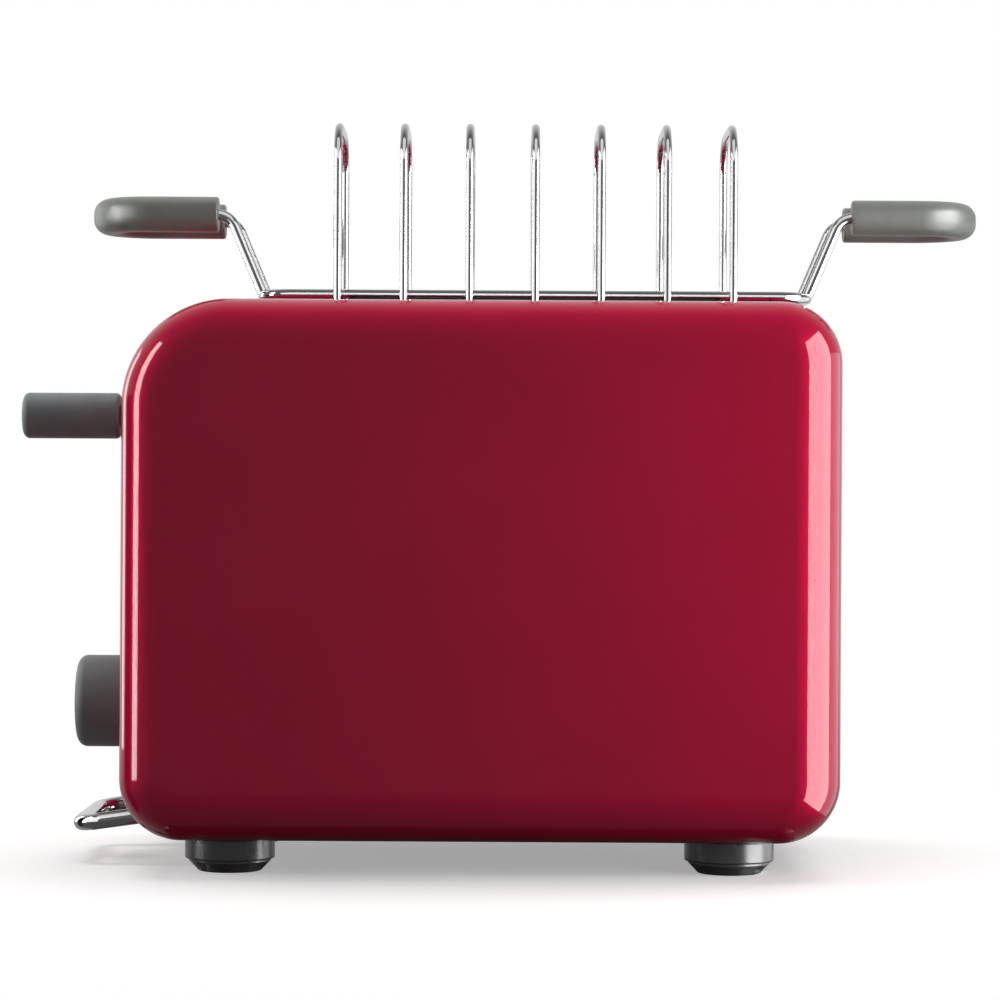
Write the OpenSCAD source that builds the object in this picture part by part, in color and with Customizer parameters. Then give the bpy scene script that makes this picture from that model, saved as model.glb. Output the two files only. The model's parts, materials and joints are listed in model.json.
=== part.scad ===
// Two-slot toaster with a lift-off toast rack, built as a bench assembly.
// Frame: X along the bread slots (lever end at -X), Y across the slots, +Z up.
// Origin: on the table, under the middle of the casing. Units are millimetres.

/* [Casing] */
// Length of the casing along the bread slots
body_l = 254; // [250:1:290]
// Width of the casing across the bread slots
body_w = 170; // [160:1:190]
// Height of the casing without its feet
body_h = 191; // [186:1:210]
// Height of the feet, from the table to the casing
stand_h = 12; // [10:0.5:16]
// Radius of the top corner over the lever
lever_corner_r = 38; // [28:1:44]
// Radius of the other three corners
corner_r = 22; // [20:1:26]
// Radius of the rolled edge round both side faces
edge_r = 18; // [12:1:19]
// Thickness of the side shells
wall = 2; // [1.4:0.1:2.4]
// Thickness of the centre band's panels
band_t = 3; // [2.8:0.1:3.4]
// Width of the centre band between the side shells
band_w = 104; // [102:1:110]
// Width of the joint line between casing pieces
seam_gap = 0.3; // [0.2:0.05:0.5]
// How far the band's backing flange reaches under a side shell
flange_reach = 6; // [4:0.5:8]

/* [Bread slots] */
// Distance of the slots' middle from the casing's middle, away from the lever
slot_x = 19; // [16:0.5:22]
// Length of a bread slot
slot_l = 138; // [130:1:142]
// Width of a bread slot
slot_w = 36; // [34:0.5:37]
// Distance between the two slots' middles
slot_pitch = 54; // [52:0.5:56]
// Corner radius of a bread slot
slot_r = 7; // [4:0.5:9]
// Distance from the slot's middle to a bread guide's wires
guide_offset = 17; // [15.5:0.25:17.5]

/* [Lever and carriage] */
// Travel of the lever from up to down
lever_travel = 62; // [52:1:64]
// Distance of the lever knob's middle below the top of the casing
lever_drop = 40; // [34:0.5:44]
// Diameter of the lever knob
lever_knob_d = 17; // [14:0.5:20]
// Length of the lever knob
lever_knob_l = 36; // [28:1:42]
// Gap between the lever knob and the casing
lever_knob_gap = 7.8; // [5:0.2:10]
// Diameter of the carriage's guide rod
rod_d = 5; // [4:0.5:6]
// Height of the bread rests below the top of the casing, lever up
rest_drop = 77; // [72:1:80]

/* [Dial and buttons] */
// Diameter of the browning dial
dial_d = 34; // [28:1:38]
// Distance from the casing to the dial's furthest point
dial_l = 23.6; // [18:0.2:28]
// Height of the dial's middle above the casing's underside
dial_height = 45; // [42:0.5:48]
// Diameter of a push button
button_d = 11; // [9:0.5:12]
// Distance between neighbouring buttons
button_pitch = 23; // [18:1:26]
// How far a button stands out of the casing
button_proud = 2.2; // [2.1:0.1:3]
// Travel of a button
button_travel = 2; // [1.2:0.1:2]

/* [Crumb tray] */
// Width of the crumb tray
tray_w = 92; // [86:1:93]
// Height of the crumb tray's rim
tray_h = 9; // [6:0.5:10]
// Distance between the two arms of the tray's pull
pull_w = 68; // [56:1:72]
// Thickness of the tray's pull
pull_d = 6; // [4.5:0.5:6.5]
// How far the pull stands out past the casing
pull_reach = 21.4; // [16:0.2:26]
// Downward tilt of the pull, in degrees
pull_tilt = 8; // [4:1:10]

/* [Toast rack] */
// Length of the rack's ring over its ends
ring_l = 203.8; // [190:0.2:210]
// Thickness of the ring's wire
ring_d = 4; // [3:0.2:4.6]
// Number of toast loops
loop_count = 7; // [3:1:7]
// How far past the slots' ends the end loops stand
loop_stand = 3; // [2:0.5:6]
// Thickness of a loop's wire
loop_d = 3; // [2.4:0.2:3.4]
// Distance between the two legs of a loop
loop_w = 59; // [50:1:64]
// Height of a loop above the top of the casing
loop_h = 67.8; // [50:0.2:80]
// Bend radius at a loop's shoulders
loop_bend_r = 15; // [8:0.5:20]
// Height of the ring's middle above the top of the casing
ring_rise = 4; // [3.2:0.1:6]
// Distance between the two handle arms at one end
arm_pitch = 32; // [26:1:36]
// Distance from the rack's middle to a handle's outer end
handle_reach = 164; // [152:0.5:176]
// Length of a handle grip
grip_l = 47.7; // [42:0.1:54]
// Height of a handle grip's section
grip_h = 13; // [10:0.2:15]
// Width of a handle grip's section
grip_w = 12; // [10:0.2:14]
// Height of the handles above the rack's ring
handle_rise = 29.8; // [24:0.2:36]

/* [Hidden] */
$fn = 48;
eps = 0.01;
arc_steps = 12;      // straight steps in a quarter of the casing's corners
roll_steps = 8;      // straight steps in the rolled edge
fit = 0.05;          // radial clearance of a running fit
slip = 0.3;          // clearance beside a part that slides or turns

// Casing limits
x0 = -body_l / 2;
x1 = body_l / 2;
z0 = stand_h;
z1 = stand_h + body_h;
shell_seam_y = band_w / 2;
panel_in = x0 + band_t;
far_in = x1 - band_t;
flange_t = 1.5;
flange_d = wall + seam_gap;
deck_low = z1 - flange_d - flange_t;
deck_x0 = x0 + lever_corner_r;
deck_x1 = x1 - corner_r;

// Base and feet
base_t = 2;
base_top = z0 + base_t;
corner_x = body_l / 2 - corner_r;     // where the end panels' lower corners begin
base_l = 2 * (corner_x - seam_gap);
base_side = 1;                        // from the base plate to the rolled edge
base_w = body_w - 2 * edge_r - 2 * base_side;
vent_l = 18;
vent_w = 3;
vent_pitch = 11;
vent_in = 29;                         // from the base plate's end to a vent's middle
vent_x = base_l / 2 - vent_in;
foot_d = 32;
foot_x = corner_x - foot_d / 2;
foot_in = 14;                         // from the base plate's side to a foot's middle
foot_y = base_w / 2 - foot_in;
foot_collar_h = 7.6;
foot_step = 1.4;
foot_chamfer = 0.6;
foot_base_r = 10.5;
foot_base_round = 1.6;
foot_screw_d = 4;
foot_head_d = 8;
foot_head_h = 3;
foot_head_side = 0.5;                 // clearance beside a screw's head
foot_recess_h = 4.5;
screw_slot_l = 5;
screw_slot_w = 1;
screw_slot_h = 1.2;

// Frame plates that close the ends of the toasting chamber
plate_t = 1.2;
chamber_margin = 10;
plate_lx = slot_x - slot_l / 2 - chamber_margin;   // inner face, lever end
plate_end = 1.5;                      // least distance from the far plate to the deck's end
plate_rx = min(slot_x + slot_l / 2 + chamber_margin, deck_x1 - plate_end - plate_t); // inner face, far end
liner_t = 1.2;
liner_low = deck_low - liner_t;
frame_side = 15;                      // from a slot's side to the frame plates' edge
frame_w = slot_pitch + slot_w + 2 * frame_side;
tab_w = 4;
tab_side = 0.1;                       // clearance round a tab in the base plate
tray_side = 1.5;                      // clearance beside the tray in its channel
tray_over = 4.2;                      // clearance over the tray's rim in its channel
tray_channel_w = tray_w + 2 * tray_side;
tray_channel_top = base_top + slip + tray_h + tray_over;

// Heating elements
card_t = 0.8;
ribbon_t = 0.3;
ribbon_w = 2.4;
ribbon_count = 10;
element_rise = 50;                    // from the casing's underside to the cards
element_drop = 10;                    // from the liner to the cards
element_low = z0 + element_rise;
element_high = liner_low - element_drop;
card_gap = 4.5;                       // from a slot's side to an outer card
card_offset = slot_pitch / 2 + slot_w / 2 + card_gap;
shield_t = 0.8;
shield_gap = 4;                       // from an outer card to its heat shield
shield_skirt = 6;                     // how far a heat shield hangs below the cards
shield_offset = card_offset + shield_gap;

// Bread guides
guide_rise = 48;                      // from the casing's underside to the pivots
guide_drop = 12;                      // from the liner to the guides' top bars
guide_pivot_z = z0 + guide_rise;
guide_top_z = liner_low - guide_drop;
guide_pivot_d = 2.4;
guide_bar_d = 2;
guide_wire_d = 1.6;
guide_wires = 9;
guide_wire_in = 1;                    // from the slot's end to the last wire
guide_wire_span = slot_l - 2 * guide_wire_in;
guide_over = min(2, (plate_rx - slot_x - slot_l / 2) / 2); // top bar past the slot's end
pivot_out = 2;                        // pivot bar past a frame plate

// Carriage
rest_z = z1 - rest_drop;              // top of the bread rests, lever up
rest_blade_t = 1.6;
rest_blade_h = 10;
rest_prong_d = 2.4;
rest_prong_l = 26;
rest_prongs = 8;
rest_prong_in = 6;                    // from the slot's end to the last prong
rest_prong_span = slot_l - 2 * rest_prong_in;
rest_tail = 4;                        // bread rest past the far frame plate
carriage_t = 1.6;
carriage_gap = 8;                     // from the frame plate to the carriage plate
carriage_x = plate_lx - plate_t - carriage_gap - carriage_t;
carriage_side = 7;                    // carriage plate past a bread rest
carriage_foot = 4;                    // carriage plate below the bread rests
carriage_head = 2;                    // carriage plate over the bread rests
carriage_w = slot_pitch + 2 * carriage_side;
carriage_low = rest_z - rest_blade_h - carriage_foot;
carriage_top = rest_z + carriage_head;
rod_offset = 12.7;                    // from the carriage plate to the guide rod
rod_x = carriage_x - rod_offset;
bush_w = 14;
bush_skirt = 2;                       // bush below the carriage plate
bush_low = carriage_low - bush_skirt;
bush_top = carriage_top;
arm_t = 3;
arm_h = 8;
lever_z = z1 - lever_drop;
arm_root_x = rod_x - bush_w / 2;
arm_leg_w = 6;
arm_foot = 4;                         // from the bush's underside to the arm's foot
knob_socket_l = 21.6;
arm_tip_x = x0 - lever_knob_gap - knob_socket_l;
slot_end = 1.5;                       // clearance over and under the lever arm in its slot
slot_side = 0.8;                      // clearance beside what slides in a slot
slit_end = 2;                         // clearance over and under a bread rest in its slit

// Lower shelf and upper bracket that carry the guide rod
shelf_t = 2;
shelf_over = 1;                       // clearance between the tray's channel and the shelf
shelf_low = tray_channel_top + shelf_over;
shelf_top = shelf_low + shelf_t;
shelf_w = 72;
shelf_out = 15;                       // shelf past the guide rod
shelf_x0 = rod_x - shelf_out;
bracket_t = 2;
bracket_drop = 9;                     // from the liner to the bracket's underside
bracket_out = 10;                     // bracket past the guide rod
bracket_low = liner_low - bracket_drop;
bracket_w = 24;
rod_out = 3;                          // guide rod over the bracket

// Latch magnet on the lower shelf, and its keeper on the carriage
magnet_y = 22;
magnet_w = 12;
pole_t = 5;
yoke_l = 16;
yoke_h = 5;
keeper_t = 3;
keeper_top = carriage_top - carriage_t;
magnet_top = keeper_top - keeper_t - lever_travel - slip;
coil_t = 3;
coil_gap = 0.2;
coil_rise = 1;                        // from the yoke to the coil
coil_drop = 3;                        // from the pole's face to the coil
coil_low = shelf_top + yoke_h + coil_rise;
coil_top = magnet_top - coil_drop;

// Spring round the guide rod, between the shelf and the carriage
spring_r = 4.6;
spring_wire_d = 1;
spring_turns = 12;
spring_low = shelf_top;
spring_top = bush_low;

// Control board behind the lever end
dial_z = z0 + dial_height;
button_over = 10;                     // from the dial's rim to the buttons' middles
button_z = dial_z + dial_d / 2 + button_over;
board_gap = 12;
board_t = 1.6;
board_x = panel_in + board_gap;       // face towards the panel
board_w = 80;
board_rise = 7;                       // from the tray's channel to the board
board_over = 6;                       // from the buttons' middles to the board's top
board_low = tray_channel_top + board_rise;
board_high = button_z + board_over;
board_post_d = 7;
board_post_edge = 5;
board_post_y = board_w / 2 - board_post_edge;
board_screw_d = 2.6;
board_screw_head_d = 5;
board_screw_head_h = 1.8;
board_screw_bite = 6;                 // screw in its post
board_screw_room = 2;                 // hole past the screw
shaft_d = 6;
pot_d = 17;
pot_l = 8;
dial_gap = 0.8;
dial_dome = 0.9;
dial_round = 3.6;
dial_end_wall = 9.6;
dial_bore_l = dial_l - dial_end_wall;
dial_mark_w = 1.6;
dial_mark_h = 1.2;
dial_mark_in = 7.6;                   // from the dial's middle to its pointer mark
tact_l = 3.4;
tact_w = 6;
tact_tip_d = 3.4;
tact_tip_l = 1.1;
button_flange_d = button_d + 4;
button_flange_t = 1.5;
button_stem_d = 5;
button_stop = 0.2;                    // gap left over the switch when pressed
button_tail_x = board_x - tact_l - tact_tip_l - button_travel - button_stop;

// Crumb tray
tray_t = 0.8;
tray_low = base_top + slip;
tray_x0 = x0 + corner_r;
tray_end_gap = 4;
tray_x1 = plate_rx - tray_end_gap;
tray_front_side = 0.4;                // joint line round the tray's front
tray_front_top = tray_channel_top - tray_front_side;
tray_front_w = tray_channel_w - 2 * tray_front_side;
pull_bend_r = 8;
pull_root_in = 13.2;
pull_root_x = x0 + pull_root_in;
pull_root_rise = 6.8;                 // from the casing's underside to the pull's roots
pull_root_z = z0 + pull_root_rise;
pull_l = pull_root_x - x0 + pull_reach;

// Mains inlet at the far end
gland_y = 30;
gland_z = z0 + 26;
gland_neck_d = 12;
gland_flange_d = 18;
gland_flange_t = 2.5;
gland_bore_d = 7.4;
gland_neck_l = 9;
terminal_l = 9;
terminal_w = 30;
terminal_h = 12;

// Toast rack
rack_x = slot_x;
rack_z = z1 + ring_rise;
loop_pitch = (slot_l + 2 * loop_stand) / (loop_count - 1);
weld = 0.2;                           // depth to which crossing wires are welded
ring_half_w = loop_w / 2 - loop_d / 2 - ring_d / 2 + weld;
ring_corner_r = 12;
ring_flat = 2;                        // least half-length of the ring's straight ends
ring_bend_r = min(ring_corner_r, ring_half_w - ring_flat);
ring_half_l = (ring_l - ring_d) / 2;
arm_y = arm_pitch / 2;
arm_foot_x = ring_half_l - ring_bend_r
           + sqrt(ring_bend_r * ring_bend_r - pow(max(arm_y - ring_half_w + ring_bend_r, 0), 2));
grip_in_x = handle_reach - grip_l;
arm_neck = 4;                         // from a handle arm's bend to its grip
arm_bend_x = grip_in_x - arm_neck;
arm_plug_l = 14;
grip_end_r = arm_y + grip_w / 2;
grip_round = 5;
foot_gap = 0.1;

// Colours as photographed
paint = [0.55, 0.05, 0.14];
soft_grey = [0.27, 0.27, 0.27];
foot_grey = [0.36, 0.37, 0.35];
chrome = [0.82, 0.82, 0.83];
steel = [0.66, 0.67, 0.68];
dark_steel = [0.32, 0.33, 0.34];
black_plastic = [0.09, 0.09, 0.09];
mica = [0.76, 0.70, 0.58];
nichrome = [0.50, 0.47, 0.45];
copper = [0.72, 0.42, 0.22];
board_green = [0.10, 0.32, 0.18];

// General shapes

function arc(cx, cy, r, from, to, steps = arc_steps) =
    [for (i = [0:steps]) let (a = from + (to - from) * i / steps) [cx + r * cos(a), cy + r * sin(a)]];

function rounded_rect(l, w, r, steps = 8) = concat(
    arc(l / 2 - r, w / 2 - r, r, 0, 90, steps), arc(r - l / 2, w / 2 - r, r, 90, 180, steps),
    arc(r - l / 2, r - w / 2, r, 180, 270, steps), arc(l / 2 - r, r - w / 2, r, 270, 360, steps));

// Casing outline in XZ, moved inwards by d
function outline(d) = concat(
    arc(x1 - corner_r, z0 + corner_r, corner_r - d, -90, 0),
    arc(x1 - corner_r, z1 - corner_r, corner_r - d, 0, 90),
    arc(x0 + lever_corner_r, z1 - lever_corner_r, lever_corner_r - d, 90, 180),
    arc(x0 + corner_r, z0 + corner_r, corner_r - d, 180, 270));

// A flat shape in XZ, extruded from y = -w/2 to w/2
module across(w) {
    rotate([90, 0, 0]) translate([0, 0, -w / 2]) linear_extrude(w) children();
}

// Children turned so that their +Z points out of the lever end, at height z
module out_of_lever_end(x, y, z) {
    translate([x, y, z]) rotate([0, -90, 0]) children();
}

module box(low, high) {
    translate(low) cube(high - low);
}

module rod_between(p, q, d) {
    v = q - p;
    translate(p) rotate([0, acos(v[2] / norm(v)), atan2(v[1], v[0])]) cylinder(d = d, h = norm(v));
}

module elbow(bend_r, d, turn = 90) {
    rotate_extrude(angle = turn) translate([bend_r, 0]) circle(d = d);
}

// Casing

// One side shell as nested outlines: up the outside, over the face and back down the inside
module side_shell() {
    skins = [[0, edge_r], [wall, edge_r - wall]];
    rings = [for (s = skins) concat(
        [[shell_seam_y + seam_gap / 2, s[0]]],
        [for (i = [0:roll_steps]) let (a = 90 * i / roll_steps)
            [body_w / 2 - edge_r + s[1] * sin(a), s[0] + s[1] * (1 - cos(a))]])];
    ring_points = len(outline(0));
    count = roll_steps + 2;
    points = [for (side = rings) for (ring = side) for (p = outline(ring[1])) [p[0], -ring[0], p[1]]];
    outer_faces = [for (k = [0:count - 2]) for (i = [0:ring_points - 1]) let (j = (i + 1) % ring_points)
        each [[k * ring_points + i, k * ring_points + j, (k + 1) * ring_points + j],
              [k * ring_points + i, (k + 1) * ring_points + j, (k + 1) * ring_points + i]]];
    inner_faces = [for (f = outer_faces) [for (i = [2, 1, 0]) f[i] + count * ring_points]];
    last = (count - 1) * ring_points;
    outer_cap = [[for (i = [0:ring_points - 1]) last + i]];
    inner_cap = [[for (i = [ring_points - 1:-1:0]) last + count * ring_points + i]];
    seam = [for (i = [0:ring_points - 1]) let (j = (i + 1) % ring_points, o = count * ring_points)
        each [[i, o + j, j], [i, o + i, o + j]]];
    polyhedron(points, concat(outer_faces, inner_faces, outer_cap, inner_cap, seam));
}

module base_opening() {
    box([-corner_x, -base_w / 2 - seam_gap, z0 - 1], [corner_x, base_w / 2 + seam_gap, z0 + 2 * wall]);
}

module front_shell() {
    color(paint) difference() {
        side_shell();
        base_opening();
    }
}

module rear_shell() {
    color(paint) mirror([0, 1, 0]) difference() {
        side_shell();
        base_opening();
    }
}

// The centre band: a panel ring with a backing flange under both side shells
module band(from_x, to_x) {
    module ring(outer, inner) {
        intersection() {
            difference() {
                polygon(outline(outer));
                polygon(outline(inner));
            }
            translate([from_x, z0]) square([to_x - from_x, body_h]);
        }
    }
    across(band_w - seam_gap) ring(0, band_t);
    across(band_w + 2 * flange_reach) ring(flange_d, flange_d + flange_t);
}

module bread_slots(grow, low, high) {
    for (side = [-1, 1])
        translate([slot_x, side * slot_pitch / 2, low])
            linear_extrude(high - low)
                polygon(rounded_rect(slot_l + 2 * grow, slot_w + 2 * grow, slot_r + grow));
}

module top_deck() {
    color(paint) difference() {
        intersection() {
            band(deck_x0 + seam_gap / 2, deck_x1 - seam_gap / 2);
            box([x0, -body_w / 2, z1 - corner_r], [x1, body_w / 2, z1]);
        }
        bread_slots(0, deck_low - 1, z1 + 1);
    }
}

module lever_slot() {
    low = lever_z - lever_travel - arm_h / 2 - slot_end;
    high = lever_z + arm_h / 2 + slot_end;
    box([x0 - 1, -arm_t / 2 - slot_side, low], [panel_in + 6, arm_t / 2 + slot_side, high]);
}

module button_places() {
    for (i = [-1:1])
        out_of_lever_end(0, i * button_pitch, button_z) children();
}

module board_posts() {
    for (y = [-1, 1] * board_post_y, z = [board_low + board_post_edge, board_high - board_post_edge])
        translate([board_x, y, z]) rotate([0, -90, 0]) children();
}

module control_end() {
    post_l = board_gap + 0.5;
    color(paint) difference() {
        union() {
            band(x0, deck_x0 - seam_gap / 2);
            board_posts() cylinder(d = board_post_d, h = post_l);
        }
        box([-corner_x, -body_w / 2, z0 - 1], [deck_x0, body_w / 2, z0 + body_h / 2]);
        box([x0 - 1, -tray_channel_w / 2, z0 - 1], [deck_x0, tray_channel_w / 2, tray_channel_top]);
        lever_slot();
        button_places() translate([0, 0, -panel_in - flange_t - 2])
            cylinder(d = button_d + 2 * slip, h = band_t + 6);
        out_of_lever_end(panel_in + 4, 0, dial_z) cylinder(d = shaft_d + 2 * slip, h = band_t + 6);
        button_places() translate([0, 0, -panel_in - 3]) cylinder(d = button_flange_d + 2 * slip, h = 3);
        board_posts() cylinder(d = board_screw_d, h = board_screw_bite + board_screw_room);
    }
}

module far_end() {
    color(paint) difference() {
        band(deck_x1 + seam_gap / 2, x1);
        translate([far_in - 4, gland_y, gland_z]) rotate([0, 90, 0])
            cylinder(d = gland_neck_d + 2 * fit, h = band_t + 6);
    }
}

module base_vents() {
    for (side = [-1, 1], i = [-3:3])
        translate([side * vent_x, i * vent_pitch, z0 - 1]) {
            translate([-vent_l / 2, -vent_w / 2, 0]) cube([vent_l, vent_w, base_t + 2]);
            for (x = [-1, 1] * vent_l / 2)
                translate([x, 0, 0]) cylinder(d = vent_w, h = base_t + 2);
        }
}

module base_plate() {
    color(dark_steel) difference() {
        box([-base_l / 2, -base_w / 2, z0], [base_l / 2, base_w / 2, base_top]);
        foot_places() translate([0, 0, z0 - 1]) cylinder(d = foot_screw_d, h = base_t + 2);
        for (x = [plate_lx - plate_t, plate_rx], y = [-1, 1] * (frame_w - tab_w) / 2)
            box([x - tab_side, y - tab_w / 2 - tab_side, z0 - 1],
                [x + plate_t + tab_side, y + tab_w / 2 + tab_side, base_top + 1]);
        base_vents();
    }
}

// Feet

module foot_places() {
    for (sx = [-1, 1], sy = [-1, 1])
        translate([sx * foot_x, sy * foot_y, 0]) children();
}

module foot(sx, sy) {
    low_collar = stand_h - foot_collar_h;
    taper_r = foot_d / 2 - foot_step;
    recess_r = foot_head_d / 2 + foot_head_side;
    bore_r = foot_screw_d / 2 + fit;
    profile = concat(
        [[recess_r, 0]],
        arc(foot_base_r, foot_base_round, foot_base_round, -90, -35, 4),
        [[taper_r, low_collar - foot_chamfer], [taper_r, low_collar],
         [foot_d / 2 - foot_chamfer, low_collar], [foot_d / 2, low_collar + foot_chamfer],
         [foot_d / 2, stand_h], [bore_r, stand_h], [bore_r, foot_recess_h], [recess_r, foot_recess_h]]);
    color(foot_grey) translate([sx * foot_x, sy * foot_y, 0]) rotate_extrude() polygon(profile);
}

module foot_screws() {
    color(steel) foot_places() difference() {
        union() {
            translate([0, 0, foot_recess_h - foot_head_h]) cylinder(d = foot_head_d, h = foot_head_h);
            translate([0, 0, foot_recess_h - eps]) cylinder(d = foot_screw_d, h = base_top - foot_recess_h);
        }
        for (turn = [0, 90])
            translate([0, 0, foot_recess_h - foot_head_h]) rotate(turn)
                cube([screw_slot_l, screw_slot_w, 2 * screw_slot_h], center = true);
    }
}

// Toasting chamber

module slot_liner() {
    color(steel) difference() {
        box([plate_lx - plate_t, -frame_w / 2, liner_low], [plate_rx + plate_t, frame_w / 2, deck_low]);
        bread_slots(-1, liner_low - 1, deck_low + 1);
    }
}

// A frame plate on two legs beside the tray; a tab under each leg goes through the base plate
module frame_plate(x) {
    slit_low = rest_z - rest_blade_h - lever_travel - slit_end;
    slit_w = rest_blade_t + 2 * slot_side;
    color(steel) difference() {
        union() {
            box([x, -frame_w / 2, base_top], [x + plate_t, frame_w / 2, liner_low]);
            for (y = [-1, 1] * (frame_w - tab_w) / 2)
                box([x, y - tab_w / 2, z0], [x + plate_t, y + tab_w / 2, base_top + eps]);
        }
        box([x - 1, -tray_channel_w / 2, z0], [x + plate_t + 1, tray_channel_w / 2, tray_channel_top]);
        for (y = [-1, 1] * slot_pitch / 2)
            box([x - 1, y - slit_w / 2, slit_low], [x + plate_t + 1, y + slit_w / 2, rest_z + slit_end]);
        for (y = guide_places())
            translate([x - 1, y, guide_pivot_z]) rotate([0, 90, 0])
                cylinder(d = guide_pivot_d + 2 * fit, h = plate_t + 2);
    }
}

module element_card(y) {
    color(mica) box([plate_lx, y - card_t / 2, element_low], [plate_rx, y + card_t / 2, element_high]);
}

// Flat resistance ribbon: closed bands wound flat round the card
module element_ribbon(y) {
    pitch = (element_high - element_low) / ribbon_count;
    half_l = slot_l / 2;
    color(nichrome) for (i = [0:ribbon_count - 1])
        let (z = element_low + (i + 0.5) * pitch - ribbon_w / 2)
            for (face = [-1, 1])
                box([slot_x - half_l, min(face * card_t / 2, face * (card_t / 2 + ribbon_t)) + y, z],
                    [slot_x + half_l, max(face * card_t / 2, face * (card_t / 2 + ribbon_t)) + y,
                     z + ribbon_w]);
}

module heat_shield(side) {
    y = side * shield_offset;
    color(steel) box([plate_lx, y - shield_t / 2, element_low - shield_skirt],
                     [plate_rx, y + shield_t / 2, liner_low]);
}

// Bread guides: wire grids that lean in on a pivot bar as the bread goes down

function guide_places() = [for (slot = [-1, 1], side = [-1, 1]) slot * slot_pitch / 2 + side * guide_offset];

module bread_guide(place) {
    y = guide_places()[place];
    reach = plate_t + pivot_out;
    color(chrome) {
        translate([plate_lx - reach, y, guide_pivot_z]) rotate([0, 90, 0])
            cylinder(d = guide_pivot_d, h = plate_rx - plate_lx + 2 * reach);
        translate([slot_x - slot_l / 2 - guide_over, y, guide_top_z]) rotate([0, 90, 0])
            cylinder(d = guide_bar_d, h = slot_l + 2 * guide_over);
        for (i = [0:guide_wires - 1])
            translate([slot_x + guide_wire_span * (i / (guide_wires - 1) - 0.5), y, guide_pivot_z])
                cylinder(d = guide_wire_d, h = guide_top_z - guide_pivot_z);
    }
}

// Lift mechanism

module mechanism_shelf() {
    color(steel) difference() {
        box([shelf_x0, -shelf_w / 2, shelf_low], [plate_lx - plate_t, shelf_w / 2, shelf_top]);
        translate([rod_x, 0, shelf_low - 1]) cylinder(d = rod_d + 2 * fit, h = shelf_t + 2);
    }
}

module rod_bracket() {
    color(steel) difference() {
        box([rod_x - bracket_out, -bracket_w / 2, bracket_low],
            [plate_lx - plate_t, bracket_w / 2, bracket_low + bracket_t]);
        translate([rod_x, 0, bracket_low - 1]) cylinder(d = rod_d + 2 * fit, h = bracket_t + 2);
    }
}

module guide_rod() {
    color(chrome) translate([rod_x, 0, shelf_low])
        cylinder(d = rod_d, h = bracket_low + bracket_t + rod_out - shelf_low);
}

// Compression spring: a tube of six sides swept along a helix with flat closed ends
module carriage_spring() {
    sides = 6;
    steps = 8;
    count = spring_turns * steps;
    wire_r = spring_wire_d / 2;
    rise = spring_top - spring_low - spring_wire_d - 2 * slip;
    function mid(i) = let (a = 360 * i / steps)
        [rod_x + spring_r * cos(a), spring_r * sin(a), spring_low + slip + wire_r + rise * i / count];
    points = [for (i = [0:count]) let (a = 360 * i / steps) for (k = [0:sides - 1])
        let (b = 360 * k / sides)
            mid(i) + wire_r * [cos(b) * cos(a), cos(b) * sin(a), sin(b)]];
    skin = [for (i = [0:count - 1]) for (k = [0:sides - 1]) let (n = (k + 1) % sides)
        each [[i * sides + k, (i + 1) * sides + k, (i + 1) * sides + n],
              [i * sides + k, (i + 1) * sides + n, i * sides + n]]];
    caps = [[for (k = [0:sides - 1]) k], [for (k = [sides - 1:-1:0]) count * sides + k]];
    color(steel) polyhedron(points, concat(skin, caps));
}

module carriage() {
    color(steel) difference() {
        union() {
            box([carriage_x, -carriage_w / 2, carriage_low],
                [carriage_x + carriage_t, carriage_w / 2, carriage_top]);
            box([rod_x + bush_w / 2, -5, carriage_low], [carriage_x + eps, 5, carriage_top - 2]);
            box([rod_x - yoke_l / 2, magnet_y - magnet_w / 2, keeper_top],
                [carriage_x + eps, magnet_y + magnet_w / 2, carriage_top]);
        }
        for (side = [-1, 1])
            translate([carriage_x - 1, side * slot_pitch / 2, carriage_low + 4]) rotate([0, 90, 0])
                cylinder(d = 3, h = carriage_t + 0.6);
    }
}

module carriage_bush() {
    color(black_plastic) translate([rod_x, 0, bush_low]) difference() {
        translate([-bush_w / 2, -bush_w / 2, 0]) cube([bush_w, bush_w, bush_top - bush_low]);
        translate([0, 0, -1]) cylinder(d = rod_d + 2 * fit, h = bush_top - bush_low + 2);
    }
}

module bread_rest(side) {
    y = side * slot_pitch / 2;
    color(steel) {
        box([carriage_x + carriage_t, y - rest_blade_t / 2, rest_z - rest_blade_h],
            [plate_rx + plate_t + rest_tail, y + rest_blade_t / 2, rest_z]);
        for (i = [0:rest_prongs - 1])
            translate([slot_x + rest_prong_span * (i / (rest_prongs - 1) - 0.5), y - rest_prong_l / 2,
                       rest_z - rest_prong_d])
                rotate([-90, 0, 0]) cylinder(d = rest_prong_d, h = rest_prong_l);
    }
}

module lever_arm() {
    color(dark_steel) {
        box([arm_root_x - arm_leg_w, -arm_t / 2, bush_low + arm_foot],
            [arm_root_x, arm_t / 2, lever_z + arm_h / 2]);
        box([arm_tip_x, -arm_t / 2, lever_z - arm_h / 2],
            [arm_root_x - eps, arm_t / 2, lever_z + arm_h / 2]);
    }
}

module lever_knob() {
    r = lever_knob_d / 2;
    round_in = 1.5;
    round_out = 2.4;
    profile = concat(
        [[0, 0]], arc(r - round_in, round_in, round_in, -90, 0, 6),
        arc(r - round_out, lever_knob_l - round_out, round_out, 0, 90, 8), [[0, lever_knob_l]]);
    color(soft_grey) difference() {
        out_of_lever_end(x0 - lever_knob_gap, 0, lever_z) rotate_extrude() polygon(profile);
        box([arm_tip_x, -arm_t / 2, lever_z - arm_h / 2], [x0, arm_t / 2, lever_z + arm_h / 2]);
    }
}

module keeper_plate() {
    color(dark_steel) box([rod_x - yoke_l / 2, magnet_y - magnet_w / 2, keeper_top - keeper_t],
                          [rod_x + yoke_l / 2, magnet_y + magnet_w / 2, keeper_top]);
}

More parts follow.
